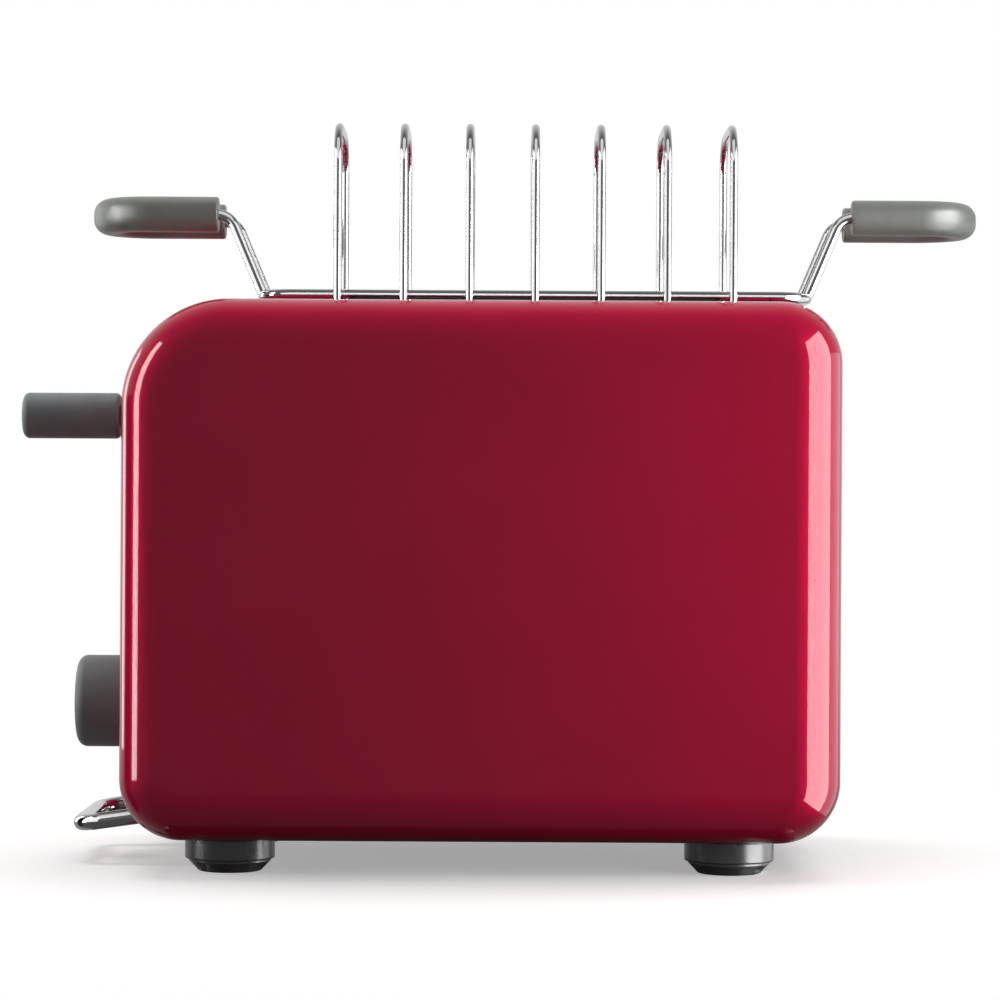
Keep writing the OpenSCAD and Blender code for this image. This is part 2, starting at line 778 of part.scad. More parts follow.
module magnet_core() {
    low = [rod_x - yoke_l / 2, magnet_y - magnet_w / 2, shelf_top];
    color(dark_steel) {
        box(low, [rod_x + yoke_l / 2, magnet_y + magnet_w / 2, shelf_top + yoke_h]);
        for (x = [0, yoke_l - pole_t])
            box(low + [x, 0, 0], [low[0] + x + pole_t, magnet_y + magnet_w / 2, magnet_top]);
    }
}

module magnet_coil() {
    low = [rod_x - yoke_l / 2 - coil_gap, magnet_y - magnet_w / 2 - coil_gap, coil_low];
    high = [rod_x - yoke_l / 2 + pole_t + coil_gap, magnet_y + magnet_w / 2 + coil_gap, coil_top];
    color(copper) difference() {
        box(low - [coil_t, coil_t, 0], high + [coil_t, coil_t, 0]);
        box(low - [0, 0, 1], high + [0, 0, 1]);
    }
}

// Controls

module circuit_board() {
    color(board_green) difference() {
        box([board_x, -board_w / 2, board_low], [board_x + board_t, board_w / 2, board_high]);
        board_posts() translate([0, 0, -board_t - 1]) cylinder(d = board_screw_d + 2 * fit, h = board_t + 2);
        out_of_lever_end(board_x + board_t + 1, 0, dial_z) cylinder(d = shaft_d + 2 * slip, h = board_t + 2);
    }
}

module board_screws() {
    color(steel) board_posts() {
        translate([0, 0, -board_t - board_screw_head_h])
            cylinder(d = board_screw_head_d, h = board_screw_head_h);
        translate([0, 0, -board_t - eps]) cylinder(d = board_screw_d, h = board_t + board_screw_bite);
    }
}

module tact_switches() {
    color(black_plastic) button_places() translate([0, 0, -board_x]) {
        translate([-tact_w / 2, -tact_w / 2, 0]) cube([tact_w, tact_w, tact_l]);
        translate([0, 0, tact_l - eps]) cylinder(d = tact_tip_d, h = tact_tip_l);
    }
}

module potentiometer() {
    color(dark_steel) out_of_lever_end(board_x, 0, dial_z) difference() {
        cylinder(d = pot_d, h = pot_l);
        translate([0, 0, -1]) cylinder(d = shaft_d + 2 * fit, h = pot_l + 2);
    }
}

module dial_shaft() {
    color(steel) out_of_lever_end(board_x, 0, dial_z)
        cylinder(d = shaft_d, h = board_x - x0 + dial_bore_l);
}

module dial_knob() {
    r = dial_d / 2;
    edge_h = dial_l - dial_dome;
    dome_r = (pow(r - dial_round, 2) + pow(dial_dome, 2)) / (2 * dial_dome);
    dome_a = asin((r - dial_round) / dome_r);
    profile = concat(
        [[shaft_d / 2, dial_gap], [r - 0.6, dial_gap], [r, dial_gap + 0.6]],
        arc(r - dial_round, edge_h - dial_round, dial_round, 0, 90 - dome_a, 6),
        arc(0, dial_l - dome_r, dome_r, 90 - dome_a, 90, 10),
        [[0, dial_bore_l], [shaft_d / 2, dial_bore_l]]);
    color(soft_grey) difference() {
        out_of_lever_end(x0, 0, dial_z) rotate_extrude() polygon(profile);
        box([x0 - dial_l - 1, -dial_mark_w / 2, dial_z + dial_mark_in],
            [x0 - edge_h + dial_mark_h, dial_mark_w / 2, dial_z + r + 1]);
    }
}

module push_button(place) {
    r = button_d / 2;
    face = button_proud - x0;
    flange = -panel_in - slip;
    profile = concat(
        [[0, -button_tail_x], [button_stem_d / 2, -button_tail_x],
         [button_stem_d / 2, flange - button_flange_t], [button_flange_d / 2, flange - button_flange_t],
         [button_flange_d / 2, flange], [r, flange]],
        arc(r - 1, face - 1, 1, 0, 90, 5), [[0, face]]);
    color(soft_grey) out_of_lever_end(0, place * button_pitch, button_z) rotate_extrude() polygon(profile);
}

// Crumb tray

module crumb_tray() {
    color(steel) difference() {
        box([tray_x0, -tray_w / 2, tray_low], [tray_x1, tray_w / 2, tray_low + tray_h]);
        box([tray_x0 + tray_t, -tray_w / 2 + tray_t, tray_low + tray_t],
            [tray_x1 - tray_t, tray_w / 2 - tray_t, tray_low + tray_h + 1]);
    }
}

module tray_front() {
    color(paint) difference() {
        across(tray_front_w) intersection() {
            difference() {
                polygon(outline(0));
                polygon(outline(band_t));
            }
            translate([x0, z0]) square([corner_r, tray_front_top - z0]);
        }
        pull_frame() for (side = [-1, 1])
            translate([-pull_l / 2, side * pull_w / 2, 0]) rotate([0, 90, 0])
                cylinder(d = pull_d, h = pull_l);
    }
}

// The pull's own frame: its root at the origin, reaching along -X, tilted down
module pull_frame() {
    translate([pull_root_x, 0, pull_root_z]) rotate([0, -pull_tilt, 0]) children();
}

module tray_pull() {
    straight = pull_l - pull_d / 2 - pull_bend_r;
    color(chrome) pull_frame() {
        for (side = [-1, 1]) {
            translate([-straight, side * pull_w / 2, 0]) rotate([0, 90, 0])
                cylinder(d = pull_d, h = straight);
            translate([-straight, side * (pull_w / 2 - pull_bend_r), 0])
                rotate(side > 0 ? 90 : 180) elbow(pull_bend_r, pull_d);
        }
        translate([-straight - pull_bend_r, pull_bend_r - pull_w / 2, 0]) rotate([-90, 0, 0])
            cylinder(d = pull_d, h = pull_w - 2 * pull_bend_r);
    }
}

// Mains inlet

module cord_gland() {
    profile = [[gland_bore_d / 2, -gland_neck_l], [gland_neck_d / 2, -gland_neck_l], [gland_neck_d / 2, 0],
               [gland_flange_d / 2, 0], [gland_flange_d / 2, gland_flange_t - 0.8],
               [gland_flange_d / 2 - 0.8, gland_flange_t], [gland_bore_d / 2, gland_flange_t]];
    color(black_plastic) translate([x1, gland_y, gland_z]) rotate([0, 90, 0])
        rotate_extrude() polygon(profile);
}

module mains_terminal() {
    low = [plate_rx + plate_t, gland_y - terminal_w / 2, gland_z - terminal_h / 2];
    color(black_plastic) difference() {
        box(low, low + [terminal_l, terminal_w, terminal_h]);
        for (i = [-1:1])
            translate([plate_rx + plate_t + terminal_l / 2, gland_y + i * 9, gland_z])
                cylinder(d = 3, h = terminal_h);
    }
}

// Toast rack

module rack_frame_place() {
    translate([rack_x, 0, rack_z]) children();
}

module rack_ring() {
    corner_x = ring_half_l - ring_bend_r;
    corner_y = ring_half_w - ring_bend_r;
    color(chrome) rack_frame_place() {
        for (side = [-1, 1]) {
            translate([-corner_x, side * ring_half_w, 0]) rotate([0, 90, 0])
                cylinder(d = ring_d, h = 2 * corner_x);
            translate([side * ring_half_l, -corner_y, 0]) rotate([-90, 0, 0])
                cylinder(d = ring_d, h = 2 * corner_y);
        }
        for (sx = [-1, 1], sy = [-1, 1])
            translate([sx * corner_x, sy * corner_y, 0])
                rotate(sx > 0 ? (sy > 0 ? 0 : 270) : (sy > 0 ? 90 : 180)) elbow(ring_bend_r, ring_d);
    }
}

// Inverted U of wire; the end loops stand on the deck, the others stop level with it
module toast_loop() {
    low = -ring_rise + foot_gap;
    shoulder = loop_h - ring_rise - loop_d / 2 - loop_bend_r;
    for (side = [-1, 1]) {
        translate([0, side * loop_w / 2, low]) cylinder(d = loop_d, h = shoulder - low);
        translate([0, side * (loop_w / 2 - loop_bend_r), shoulder])
            rotate([90, 0, 90]) rotate(side > 0 ? 0 : 90) elbow(loop_bend_r, loop_d);
    }
    translate([0, loop_bend_r - loop_w / 2, shoulder + loop_bend_r]) rotate([-90, 0, 0])
        cylinder(d = loop_d, h = loop_w - 2 * loop_bend_r);
}

module rack_loops() {
    color(chrome) rack_frame_place() for (i = [0:loop_count - 1])
        translate([(i - (loop_count - 1) / 2) * loop_pitch, 0, 0]) toast_loop();
}

// Two wires from the ring up and out into a grip
module rack_arms(end) {
    bend = [end * arm_bend_x, 0, handle_rise];
    color(chrome) rack_frame_place() for (side = [-1, 1])
        translate([0, side * arm_y, 0]) {
            rod_between([end * arm_foot_x, 0, 0], bend, ring_d);
            translate(bend) sphere(d = ring_d * 1.04);
            translate([end > 0 ? arm_bend_x : -grip_in_x - arm_plug_l, 0, handle_rise]) rotate([0, 90, 0])
                cylinder(d = ring_d, h = grip_in_x + arm_plug_l - arm_bend_x);
        }
}

// U-shaped grip: two straight legs and a half-round end, rounded in section
module rack_grip(end) {
    leg_l = grip_l - grip_end_r;
    section = rounded_rect(grip_w, grip_h, grip_round, 6);
    color(soft_grey) rack_frame_place() mirror([end > 0 ? 0 : 1, 0, 0])
        translate([grip_in_x, 0, handle_rise]) difference() {
            union() {
                for (side = [-1, 1])
                    translate([0, side * arm_y, 0]) rotate([90, 0, 90])
                        linear_extrude(leg_l) polygon(section);
                translate([leg_l, 0, 0]) rotate(-90) rotate_extrude(angle = 180)
                    translate([arm_y, 0]) polygon(section);
            }
            for (side = [-1, 1])
                translate([-1, side * arm_y, 0]) rotate([0, 90, 0]) cylinder(d = ring_d, h = arm_plug_l + 1);
        }
}

front_shell();
rear_shell();
top_deck();
control_end();
far_end();
base_plate();
foot(-1, -1);  // foot_front_left
foot(1, -1);  // foot_front_right
foot(-1, 1);  // foot_rear_left
foot(1, 1);  // foot_rear_right
foot_screws();
slot_liner();
frame_plate(plate_lx - plate_t);  // lever_frame_plate
frame_plate(plate_rx);  // far_frame_plate
element_card(-card_offset);  // front_element_card
element_card(0);  // middle_element_card
element_card(card_offset);  // rear_element_card
element_ribbon(-card_offset);  // front_element_ribbon
element_ribbon(0);  // middle_element_ribbon
element_ribbon(card_offset);  // rear_element_ribbon
heat_shield(-1);  // front_heat_shield
heat_shield(1);  // rear_heat_shield
bread_guide(0);  // guide_front_outer
bread_guide(1);  // guide_front_inner
bread_guide(2);  // guide_rear_inner
bread_guide(3);  // guide_rear_outer
mechanism_shelf();
rod_bracket();
guide_rod();
carriage_spring();
carriage();
carriage_bush();
bread_rest(-1);  // front_bread_rest
bread_rest(1);  // rear_bread_rest
lever_arm();
lever_knob();
keeper_plate();
magnet_core();
magnet_coil();
circuit_board();
board_screws();
tact_switches();
potentiometer();
dial_shaft();
dial_knob();
push_button(-1);  // cancel_button
push_button(0);  // reheat_button
push_button(1);  // defrost_button
crumb_tray();
tray_front();
tray_pull();
cord_gland();
mains_terminal();
rack_ring();
rack_loops();
rack_arms(-1);  // rack_left_arms
rack_arms(1);  // rack_right_arms
rack_grip(-1);  // rack_left_grip
rack_grip(1);  // rack_right_grip
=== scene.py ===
# %% [markdown]
# # A two-slot toaster with a lift-off toast rack
# The toaster is a crimson enamelled casing on four grey feet. A lever, a browning
# dial and three buttons are on one end, and a chromed rack with two grey grips
# stands on the top. The moving model is loaded first, and every piece made here
# is set against it, in metres and in the same place.

# %% Load the moving model
import json
import math

import bmesh
import bpy
from mathutils import Matrix, Vector


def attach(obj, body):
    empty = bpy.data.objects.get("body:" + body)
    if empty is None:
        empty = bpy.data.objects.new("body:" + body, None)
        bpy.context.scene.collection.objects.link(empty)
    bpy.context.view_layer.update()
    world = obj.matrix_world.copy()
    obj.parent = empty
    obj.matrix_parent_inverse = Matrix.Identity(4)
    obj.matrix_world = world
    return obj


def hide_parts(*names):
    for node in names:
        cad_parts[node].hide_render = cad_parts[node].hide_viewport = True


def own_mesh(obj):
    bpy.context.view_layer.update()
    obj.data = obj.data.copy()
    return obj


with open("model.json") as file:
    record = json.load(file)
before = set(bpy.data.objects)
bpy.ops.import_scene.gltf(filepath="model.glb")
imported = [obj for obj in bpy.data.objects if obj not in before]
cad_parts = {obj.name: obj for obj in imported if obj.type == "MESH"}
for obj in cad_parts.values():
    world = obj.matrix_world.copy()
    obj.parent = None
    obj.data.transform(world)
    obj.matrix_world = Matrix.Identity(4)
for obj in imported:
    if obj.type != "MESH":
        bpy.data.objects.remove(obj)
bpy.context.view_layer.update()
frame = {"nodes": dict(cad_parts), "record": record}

MM = 0.001
parts = frame["nodes"]

# %% [markdown]
# ## Camera
# The photograph is taken square on to the long side, with a long lens a little
# above the casing's middle. Level lines fall very slightly to the right, so the
# camera is rolled by a third of a degree instead of tilting the toaster.

# %% Camera
CAMERA_PLACE = (0.0066, -1.25, 0.1325)
CAMERA_ROLL = math.radians(0.33)
LENS_MM, SENSOR_MM = 120.85, 36.0
camera_data = bpy.data.cameras.new("camera")
camera_data.lens, camera_data.sensor_width = LENS_MM, SENSOR_MM
camera = bpy.data.objects.new("camera", camera_data)
bpy.context.scene.collection.objects.link(camera)
camera.location = CAMERA_PLACE
camera.rotation_euler = (math.radians(90.0), -CAMERA_ROLL, 0.0)
bpy.context.scene.camera = camera
bpy.context.scene.view_settings.view_transform = "Standard"
print("camera", tuple(camera.location), "lens", camera_data.lens)

# %% [markdown]
# ## Helpers for modelling by hand
# Each piece starts as a primitive at its size and place. Then faces and edges are
# picked by where they lie, as one would click them, and an edit operator shapes
# them. These helpers only save typing: one adds a block between two corners, one
# picks, one rounds the edges that it picks, and one applies a modifier.

# %% Blocks
def mm(x, y, z):
    return Vector((x, y, z)) * MM


def settle(name):
    """Name the active object and put its place into its mesh."""
    piece = bpy.context.object
    piece.name = name
    piece.data.name = name
    bpy.ops.object.transform_apply(location=True, rotation=True, scale=True)
    return piece


def add_block(name, low, high):
    """A cube that fills the box between two corners, given in millimetres."""
    low, high = mm(*low), mm(*high)
    bpy.ops.mesh.primitive_cube_add(size=1, location=(low + high) / 2)
    bpy.context.object.scale = high - low
    return settle(name)


def turned_to(axis):
    """The rotation that points Z along an axis."""
    return Vector(axis).to_track_quat("Z", "Y").to_euler()


# %% Picking
NEAR = 2e-5
ALONG = 0.99


def work_on(piece):
    if bpy.context.mode != "OBJECT":
        bpy.ops.object.mode_set(mode="OBJECT")
    bpy.ops.object.select_all(action="DESELECT")
    piece.select_set(True)
    bpy.context.view_layer.objects.active = piece


def pick(piece, kind, test=lambda part: True):
    """Go to edit mode and select the vertices, edges or faces that pass a test, or all."""
    if bpy.context.mode != "EDIT_MESH":
        work_on(piece)
        bpy.ops.object.mode_set(mode="EDIT")
    bpy.ops.mesh.select_mode(type=kind)
    bpy.ops.mesh.select_all(action="DESELECT")
    mesh = bmesh.from_edit_mesh(piece.data)
    choice = {"VERT": mesh.verts, "EDGE": mesh.edges, "FACE": mesh.faces}[kind]
    for part in choice:
        if test(part):
            part.select_set(True)
    mesh.select_flush_mode()
    bmesh.update_edit_mesh(piece.data)


def edge_at(edge, x=None, y=None, z=None):
    """True if both ends of an edge lie at the given millimetres."""
    wanted = [(axis, value * MM) for axis, value in enumerate((x, y, z)) if value is not None]
    return all(abs(end.co[axis] - value) < NEAR for end in edge.verts for axis, value in wanted)


def edge_along(edge, axis):
    """True if an edge runs along an axis."""
    return abs((edge.verts[0].co - edge.verts[1].co).normalized()[axis]) > ALONG


def round_edges(piece, test, radius, segments, **options):
    """Pick edges and bevel them."""
    pick(piece, "EDGE", test)
    bpy.ops.mesh.bevel(offset=radius * MM, segments=segments, affect="EDGES", **options)


# %% Modifiers and handing over
def modify(piece, kind, **settings):
    """Add a modifier, set it and apply it."""
    work_on(piece)
    modifier = piece.modifiers.new(kind.lower(), kind)
    for name, value in settings.items():
        setattr(modifier, name, value)
    bpy.ops.object.modifier_apply(modifier=modifier.name)


def cut(piece, cutter):
    """Take a cutter's shape out of a piece."""
    modify(piece, "BOOLEAN", operation="DIFFERENCE", solver="EXACT", object=cutter)
    bpy.data.objects.remove(cutter)


def smooth(piece, angle=35.0):
    """Smooth the shading, and keep broad flat faces flat."""
    work_on(piece)
    bpy.ops.object.shade_smooth_by_angle(angle=math.radians(angle))
    modify(piece, "WEIGHTED_NORMAL", keep_sharp=True)


def soften_edges(piece, width, segments=2, angle=50.0):
    modify(piece, "BEVEL", width=width * MM, segments=segments, limit_method="ANGLE",
           angle_limit=math.radians(angle), use_clamp_overlap=True)


def hand_over(piece, body, slot, material, *replaced):
    """Give a finished piece its material, its body and the solids that it stands for."""
    piece.data.materials.clear()
    piece.data.materials.append(material)
    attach(piece, body)
    if replaced:
        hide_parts(*replaced)
    print(piece.name, len(piece.data.polygons), "faces, on", body)


# %% [markdown]
# ## Helpers for finishes
# No real surface is one flat colour. Each finish below mixes two close tones with
# a noise at the size of the real grain, varies its gloss with another, and gets a
# little relief. All of them read Object coordinates, so the pattern stays on the
# piece when it moves.

# %% Noise, tones, gloss and relief
NOISE_LOW, NOISE_HIGH = 0.3, 0.7


def plug(tree, node, **sockets):
    """Set a node's sockets to values, or link them to outputs of other nodes."""
    for name, value in sockets.items():
        socket = node.inputs[name.replace("_", " ")]
        if isinstance(value, bpy.types.NodeSocket):
            tree.links.new(value, socket)
        else:
            socket.default_value = value
    return node


def add_node(tree, kind, **sockets):
    return plug(tree, tree.nodes.new("ShaderNode" + kind), **sockets)


def new_finish(name, **sockets):
    """A material with its Principled shader, its constants, and Object coordinates."""
    material = bpy.data.materials.new(name)
    material.use_nodes = True
    tree = material.node_tree
    shader = plug(tree, tree.nodes["Principled BSDF"], **sockets)
    return material, tree, shader, add_node(tree, "TexCoord").outputs["Object"]


def grain(tree, coords, scale, detail=3.0, stretch=None):
    """Noise with a number of grains per metre, stretched along some axes if asked."""
    if stretch:
        coords = add_node(tree, "Mapping", Vector=coords, Scale=stretch).outputs["Vector"]
    return add_node(tree, "TexNoise", Vector=coords, Scale=scale, Detail=detail).outputs["Fac"]


def two_tone(tree, shader, value, dark, light):
    """Colour that runs between two tones with a value."""
    ramp = add_node(tree, "ValToRGB", Fac=value)
    stops = ((NOISE_LOW, dark), (NOISE_HIGH, light))
    for stop, (place, tone) in zip(ramp.color_ramp.elements, stops):
        stop.position, stop.color = place, (*tone, 1.0)
    plug(tree, shader, Base_Color=ramp.outputs["Color"])


def vary_gloss(tree, shader, value, low, high):
    span = add_node(tree, "MapRange", Value=value, From_Min=NOISE_LOW, From_Max=NOISE_HIGH,
                    To_Min=low, To_Max=high)
    plug(tree, shader, Roughness=span.outputs["Result"])


def relief(tree, shader, height, depth):
    """Bump of a depth in metres."""
    bump = add_node(tree, "Bump", Height=height, Distance=depth)
    plug(tree, shader, Normal=bump.outputs["Normal"])


def speckled(name, tones, gloss, bumps=None, **sockets):
    """A finish from noise: (grains, dark, light), (grains, low, high), (grains, depth)."""
    material, tree, shader, coords = new_finish(name, **sockets)
    grains, dark, light = tones
    two_tone(tree, shader, grain(tree, coords, grains), dark, light)
    grains, low, high = gloss
    vary_gloss(tree, shader, grain(tree, coords, grains), low, high)
    if bumps:
        grains, depth = bumps
        relief(tree, shader, grain(tree, coords, grains, detail=1.0), depth)
    print("finish", name)
    return material


# %% [markdown]
# ## Crimson enamel
# The casing is painted metal under a hard, wet-looking gloss. In the photograph a
# saturated crimson glow lies round each white highlight, so light also scatters in
# a layer below the clear one. One glossy layer would give the highlights without
# the glow, so a clear coat lies here over a slightly metallic, rougher crimson.

# %% Crimson enamel
enamel = speckled("crimson_enamel", (30.0, (0.485, 0.0013, 0.040), (0.515, 0.0017, 0.045)),
                  (55.0, 0.30, 0.36), (260.0, 0.000006), Metallic=0.22, Specular_IOR_Level=0.0,
                  Coat_Weight=1.0, Coat_Roughness=0.04, Coat_IOR=1.6)


def enamelled(panel, body, node, soft, angle=50.0):
    """Soften, smooth and hand over a panel of the casing."""
    soften_edges(panel, soft, angle=angle)
    smooth(panel)
    hand_over(panel, body, "red_paint", enamel, node)


# %% [markdown]
# ## Side panels
# Each long side is one deep-drawn panel: a flat face, a wide rolled edge and a rim
# that meets the centre band. A block gets its four corner edges bevelled, the one
# over the lever wider, and its face is then inset in small steps that follow a
# quarter circle, which rolls the edge exactly. The open back and the cut for the
# base plate are deleted before the wall gets its thickness.

# %% Side panels
CASING_X, CASING_Y = 127.0, 85.0
CASING_LOW, CASING_TOP = 12.0, 203.0
EDGE_ROLL, ROLL_STEPS = 18.0, 16
LEVER_CORNER, CORNER, CORNER_STEPS = 38.0, 22.0, 24
SEAM_Y = 52.15
SHELL_WALL, SHELL_SOFT = 2.0, 0.3
STRAIGHT_DOWN = -0.999
CORNERS = ((-CASING_X, CASING_TOP, LEVER_CORNER), (CASING_X, CASING_TOP, CORNER),
           (CASING_X, CASING_LOW, CORNER), (-CASING_X, CASING_LOW, CORNER))


def side_panel(name, side):
    near, far = sorted((side * SEAM_Y, side * (CASING_Y - EDGE_ROLL)))
    panel = add_block(name, (-CASING_X, near, CASING_LOW), (CASING_X, far, CASING_TOP))
    for x, z, radius in CORNERS:
        round_edges(panel, lambda edge: edge_at(edge, x=x, z=z), radius, CORNER_STEPS,
                    clamp_overlap=False)
    pick(panel, "FACE", lambda face: face.normal.y * side > ALONG)
    for step in range(ROLL_STEPS):
        start, end = (math.pi / 2 * turn / ROLL_STEPS for turn in (step, step + 1))
        bpy.ops.mesh.inset(thickness=EDGE_ROLL * MM * (math.cos(start) - math.cos(end)),
                           depth=EDGE_ROLL * MM * (math.sin(end) - math.sin(start)))
    pick(panel, "FACE", lambda face: face.normal.y * side < -ALONG
         or face.normal.z < STRAIGHT_DOWN)
    bpy.ops.mesh.delete(type="FACE")
    modify(panel, "SOLIDIFY", thickness=SHELL_WALL * MM, offset=-1.0, use_even_offset=True)
    return panel


front_panel, rear_panel = side_panel("front_panel", -1), side_panel("rear_panel", 1)
enamelled(front_panel, "casing", "front_shell", SHELL_SOFT)
enamelled(rear_panel, "casing", "rear_shell", SHELL_SOFT)

# %% [markdown]
# ## Ends of the centre band
# Between the side panels runs a band that turns down at both ends. Each end is a
# block with its two outer edges bevelled to the casing's corners. Only its outer
# skin is kept, cut to length with bisect, and thickened. The lever's slot, the
# button holes and the tray's opening are cut afterwards.

# %% Helpers for the ends
BAND_Y, BAND_WALL, BAND_REACH, BAND_SOFT = 51.85, 3.0, 60.0, 0.35
DECK_X0, DECK_X1, SEAM = -88.85, 104.85, 0.3
DRILL_X, DRILL_LENGTH = 125.0, 30.0


def band_end(name, side, top_radius, seam_x):
    low, high = sorted((side * CASING_X, side * BAND_REACH))
    panel = add_block(name, (low, -BAND_Y, CASING_LOW), (high, BAND_Y, CASING_TOP))
    for z, radius in ((CASING_TOP, top_radius), (CASING_LOW, CORNER)):
        round_edges(panel, lambda edge: edge_at(edge, x=side * CASING_X, z=z), radius,
                    CORNER_STEPS, clamp_overlap=False)
    pick(panel, "FACE", lambda face: abs(face.normal.y) > ALONG
         or face.normal.x * side < -ALONG or face.normal.z < STRAIGHT_DOWN)
    bpy.ops.mesh.delete(type="FACE")
    pick(panel, "FACE")
    bpy.ops.mesh.bisect(plane_co=mm(seam_x, 0, 0), plane_no=(side, 0, 0), clear_inner=True)
    modify(panel, "SOLIDIFY", thickness=BAND_WALL * MM, offset=-1.0, use_even_offset=True)
    return panel


def rounded_cutter(name, low, high, axis, radius):
    """A block with the four edges along one axis rounded."""
    cutter = add_block(name, low, high)
    round_edges(cutter, lambda edge: edge_along(edge, axis), radius, segments=8)
    return cutter


def drill(side, y, z, radius):
    """A fine cylinder along X, through the end panel of one side."""
    bpy.ops.mesh.primitive_cylinder_add(
        vertices=64, radius=radius * MM, depth=DRILL_LENGTH * MM,
        location=mm(side * DRILL_X, y, z), rotation=turned_to((1, 0, 0)))
    return settle("drill")


# %% Ends of the centre band
CUT_X0, CUT_X1 = -140, -60
LEVER_SLOT = ((CUT_X0, -2.3, 95.5), (-110, 2.3, 168.5))
TRAY_MOUTH = ((CUT_X0, -47.5, 0), (CUT_X1, 47.5, 27.5))
LEVER_SLOT_ROUND, BUTTON_HOLE_R, DIAL_HOLE_R, GLAND_HOLE_R = 1.6, 5.8, 3.3, 6.05
DIAL_Z = 57.0
BUTTON_Z, BUTTON_PITCH = 84.0, 23.0
GLAND_Y, GLAND_Z = 30, 38
lever_end = band_end("lever_end_panel", -1, LEVER_CORNER, DECK_X0 - SEAM)
cut(lever_end, rounded_cutter("lever_slot", *LEVER_SLOT, 0, LEVER_SLOT_ROUND))
cut(lever_end, add_block("tray_mouth", *TRAY_MOUTH))
for place in (-1, 0, 1):
    cut(lever_end, drill(-1, place * BUTTON_PITCH, BUTTON_Z, BUTTON_HOLE_R))
cut(lever_end, drill(-1, 0, DIAL_Z, DIAL_HOLE_R))
enamelled(lever_end, "casing", "control_end", BAND_SOFT)

far_end = band_end("far_end_panel", 1, CORNER, DECK_X1 + SEAM)
cut(far_end, drill(1, GLAND_Y, GLAND_Z, GLAND_HOLE_R))
enamelled(far_end, "casing", "far_end", BAND_SOFT)

# %% [markdown]
# ## Deck with the bread slots
# The top of the band is a flat plate with two bread slots. The plate is a block,
# and each slot is cut with a block whose upright edges are rounded. The lips of
# the slots are then bevelled wide, as the pressed metal turns down there.

# %% Deck
SLOT_X, SLOT_HALF_L, SLOT_HALF_W, SLOT_Y, SLOT_ROUND = 19.0, 69.0, 18.0, 27.0, 7.0
SLOT_CUT_LOW, SLOT_CUT_TOP = 190, 210
LIP_ROUND, LIP_STEPS = 1.4, 5
LIP_REACH_X, LIP_REACH_Y = 0.08, 0.0515
deck = add_block("deck_panel", (DECK_X0, -BAND_Y, CASING_TOP - BAND_WALL),
                 (DECK_X1, BAND_Y, CASING_TOP))
for side in (-1, 1):
    cut(deck, rounded_cutter(
        "bread_slot", (SLOT_X - SLOT_HALF_L, side * SLOT_Y - SLOT_HALF_W, SLOT_CUT_LOW),
        (SLOT_X + SLOT_HALF_L, side * SLOT_Y + SLOT_HALF_W, SLOT_CUT_TOP), 2, SLOT_ROUND))


def on_a_lip(edge):
    """True for the upper edges of the slots, which lie inside the plate's own."""
    return edge_at(edge, z=CASING_TOP) and all(
        abs(end.co.y) < LIP_REACH_Y and abs(end.co.x - SLOT_X * MM) < LIP_REACH_X
        for end in edge.verts)


round_edges(deck, on_a_lip, LIP_ROUND, LIP_STEPS, clamp_overlap=True)
enamelled(deck, "casing", "top_deck", SHELL_SOFT, angle=70.0)

# %% [markdown]
# ## Front of the crumb tray
# The tray's front closes the band's lower corner on the lever end, so it has the
# same bend. It is made as the band's end is, then cut to the tray's size.

# %% Front of the crumb tray
TRAY_FRONT_TOP, TRAY_FRONT_Y = 27.1, 47.1
BEYOND_Y, BEYOND_TOP, BEYOND_TRAY = 70, 230, 60
tray_front = band_end("tray_front_panel", -1, LEVER_CORNER, DECK_X0 - SEAM)
cut(tray_front, add_block("above_the_tray", (CUT_X0, -BEYOND_Y, TRAY_FRONT_TOP),
                          (CUT_X1, BEYOND_Y, BEYOND_TOP)))
for side in (-1, 1):
    low, high = sorted((side * TRAY_FRONT_Y, side * BEYOND_Y))
    cut(tray_front, add_block("beside_the_tray", (CUT_X0, low, 0), (CUT_X1, high, BEYOND_TRAY)))
enamelled(tray_front, "tray", "tray_front", BAND_SOFT)

# %% [markdown]
# ## Grey mouldings
# The lever knob, the dial and the buttons are a satin grey plastic with a very fine
# texture. The grips are a warmer grey, like silicone, and the feet are glossier and
# darker.

# %% Grey mouldings
satin_grey = speckled("satin_grey_moulding",
                      (90.0, (0.180, 0.206, 0.210), (0.211, 0.240, 0.244)),
                      (140.0, 0.42, 0.50), (2600.0, 0.00002), IOR=1.5)
grip_grey = speckled("warm_grey_grip", (90.0, (0.176, 0.188, 0.170), (0.206, 0.218, 0.198)),
                     (140.0, 0.36, 0.44), (2600.0, 0.00002), IOR=1.65)
foot_grey = speckled("glossy_grey_foot", (120.0, (0.052, 0.054, 0.052), (0.066, 0.068, 0.065)),
                     (160.0, 0.26, 0.34), (1500.0, 0.000006), IOR=2.0)

# %% [markdown]
# ## Turned pieces
# Knob, dial, buttons, feet and gland are all round about an axis. A filled circle
# is extruded and scaled along the profile, ring by ring, as one does by hand when
# a lathe shape has to keep its own edge loops. Rounded edges are short arcs in
# the profile.

# %% Helpers for turned pieces
MERGE = 1e-6


def arc(radius_at, height_at, size, start, end, steps=6):
    """Points of an arc in a profile of (radius, height), in degrees."""
    turns = [math.radians(start + (end - start) * step / steps) for step in range(steps + 1)]
    return [(radius_at + size * math.cos(turn), height_at + size * math.sin(turn))
            for turn in turns]


def extrude(move):
    bpy.ops.mesh.extrude_region_move(TRANSFORM_OT_translate={"value": move})


def close_mesh():
    """Merge what lies twice, turn the faces outwards and leave edit mode."""
    bpy.ops.mesh.select_all(action="SELECT")
    bpy.ops.mesh.remove_doubles(threshold=MERGE)
    bpy.ops.mesh.normals_make_consistent(inside=False)
    bpy.ops.object.mode_set(mode="OBJECT")


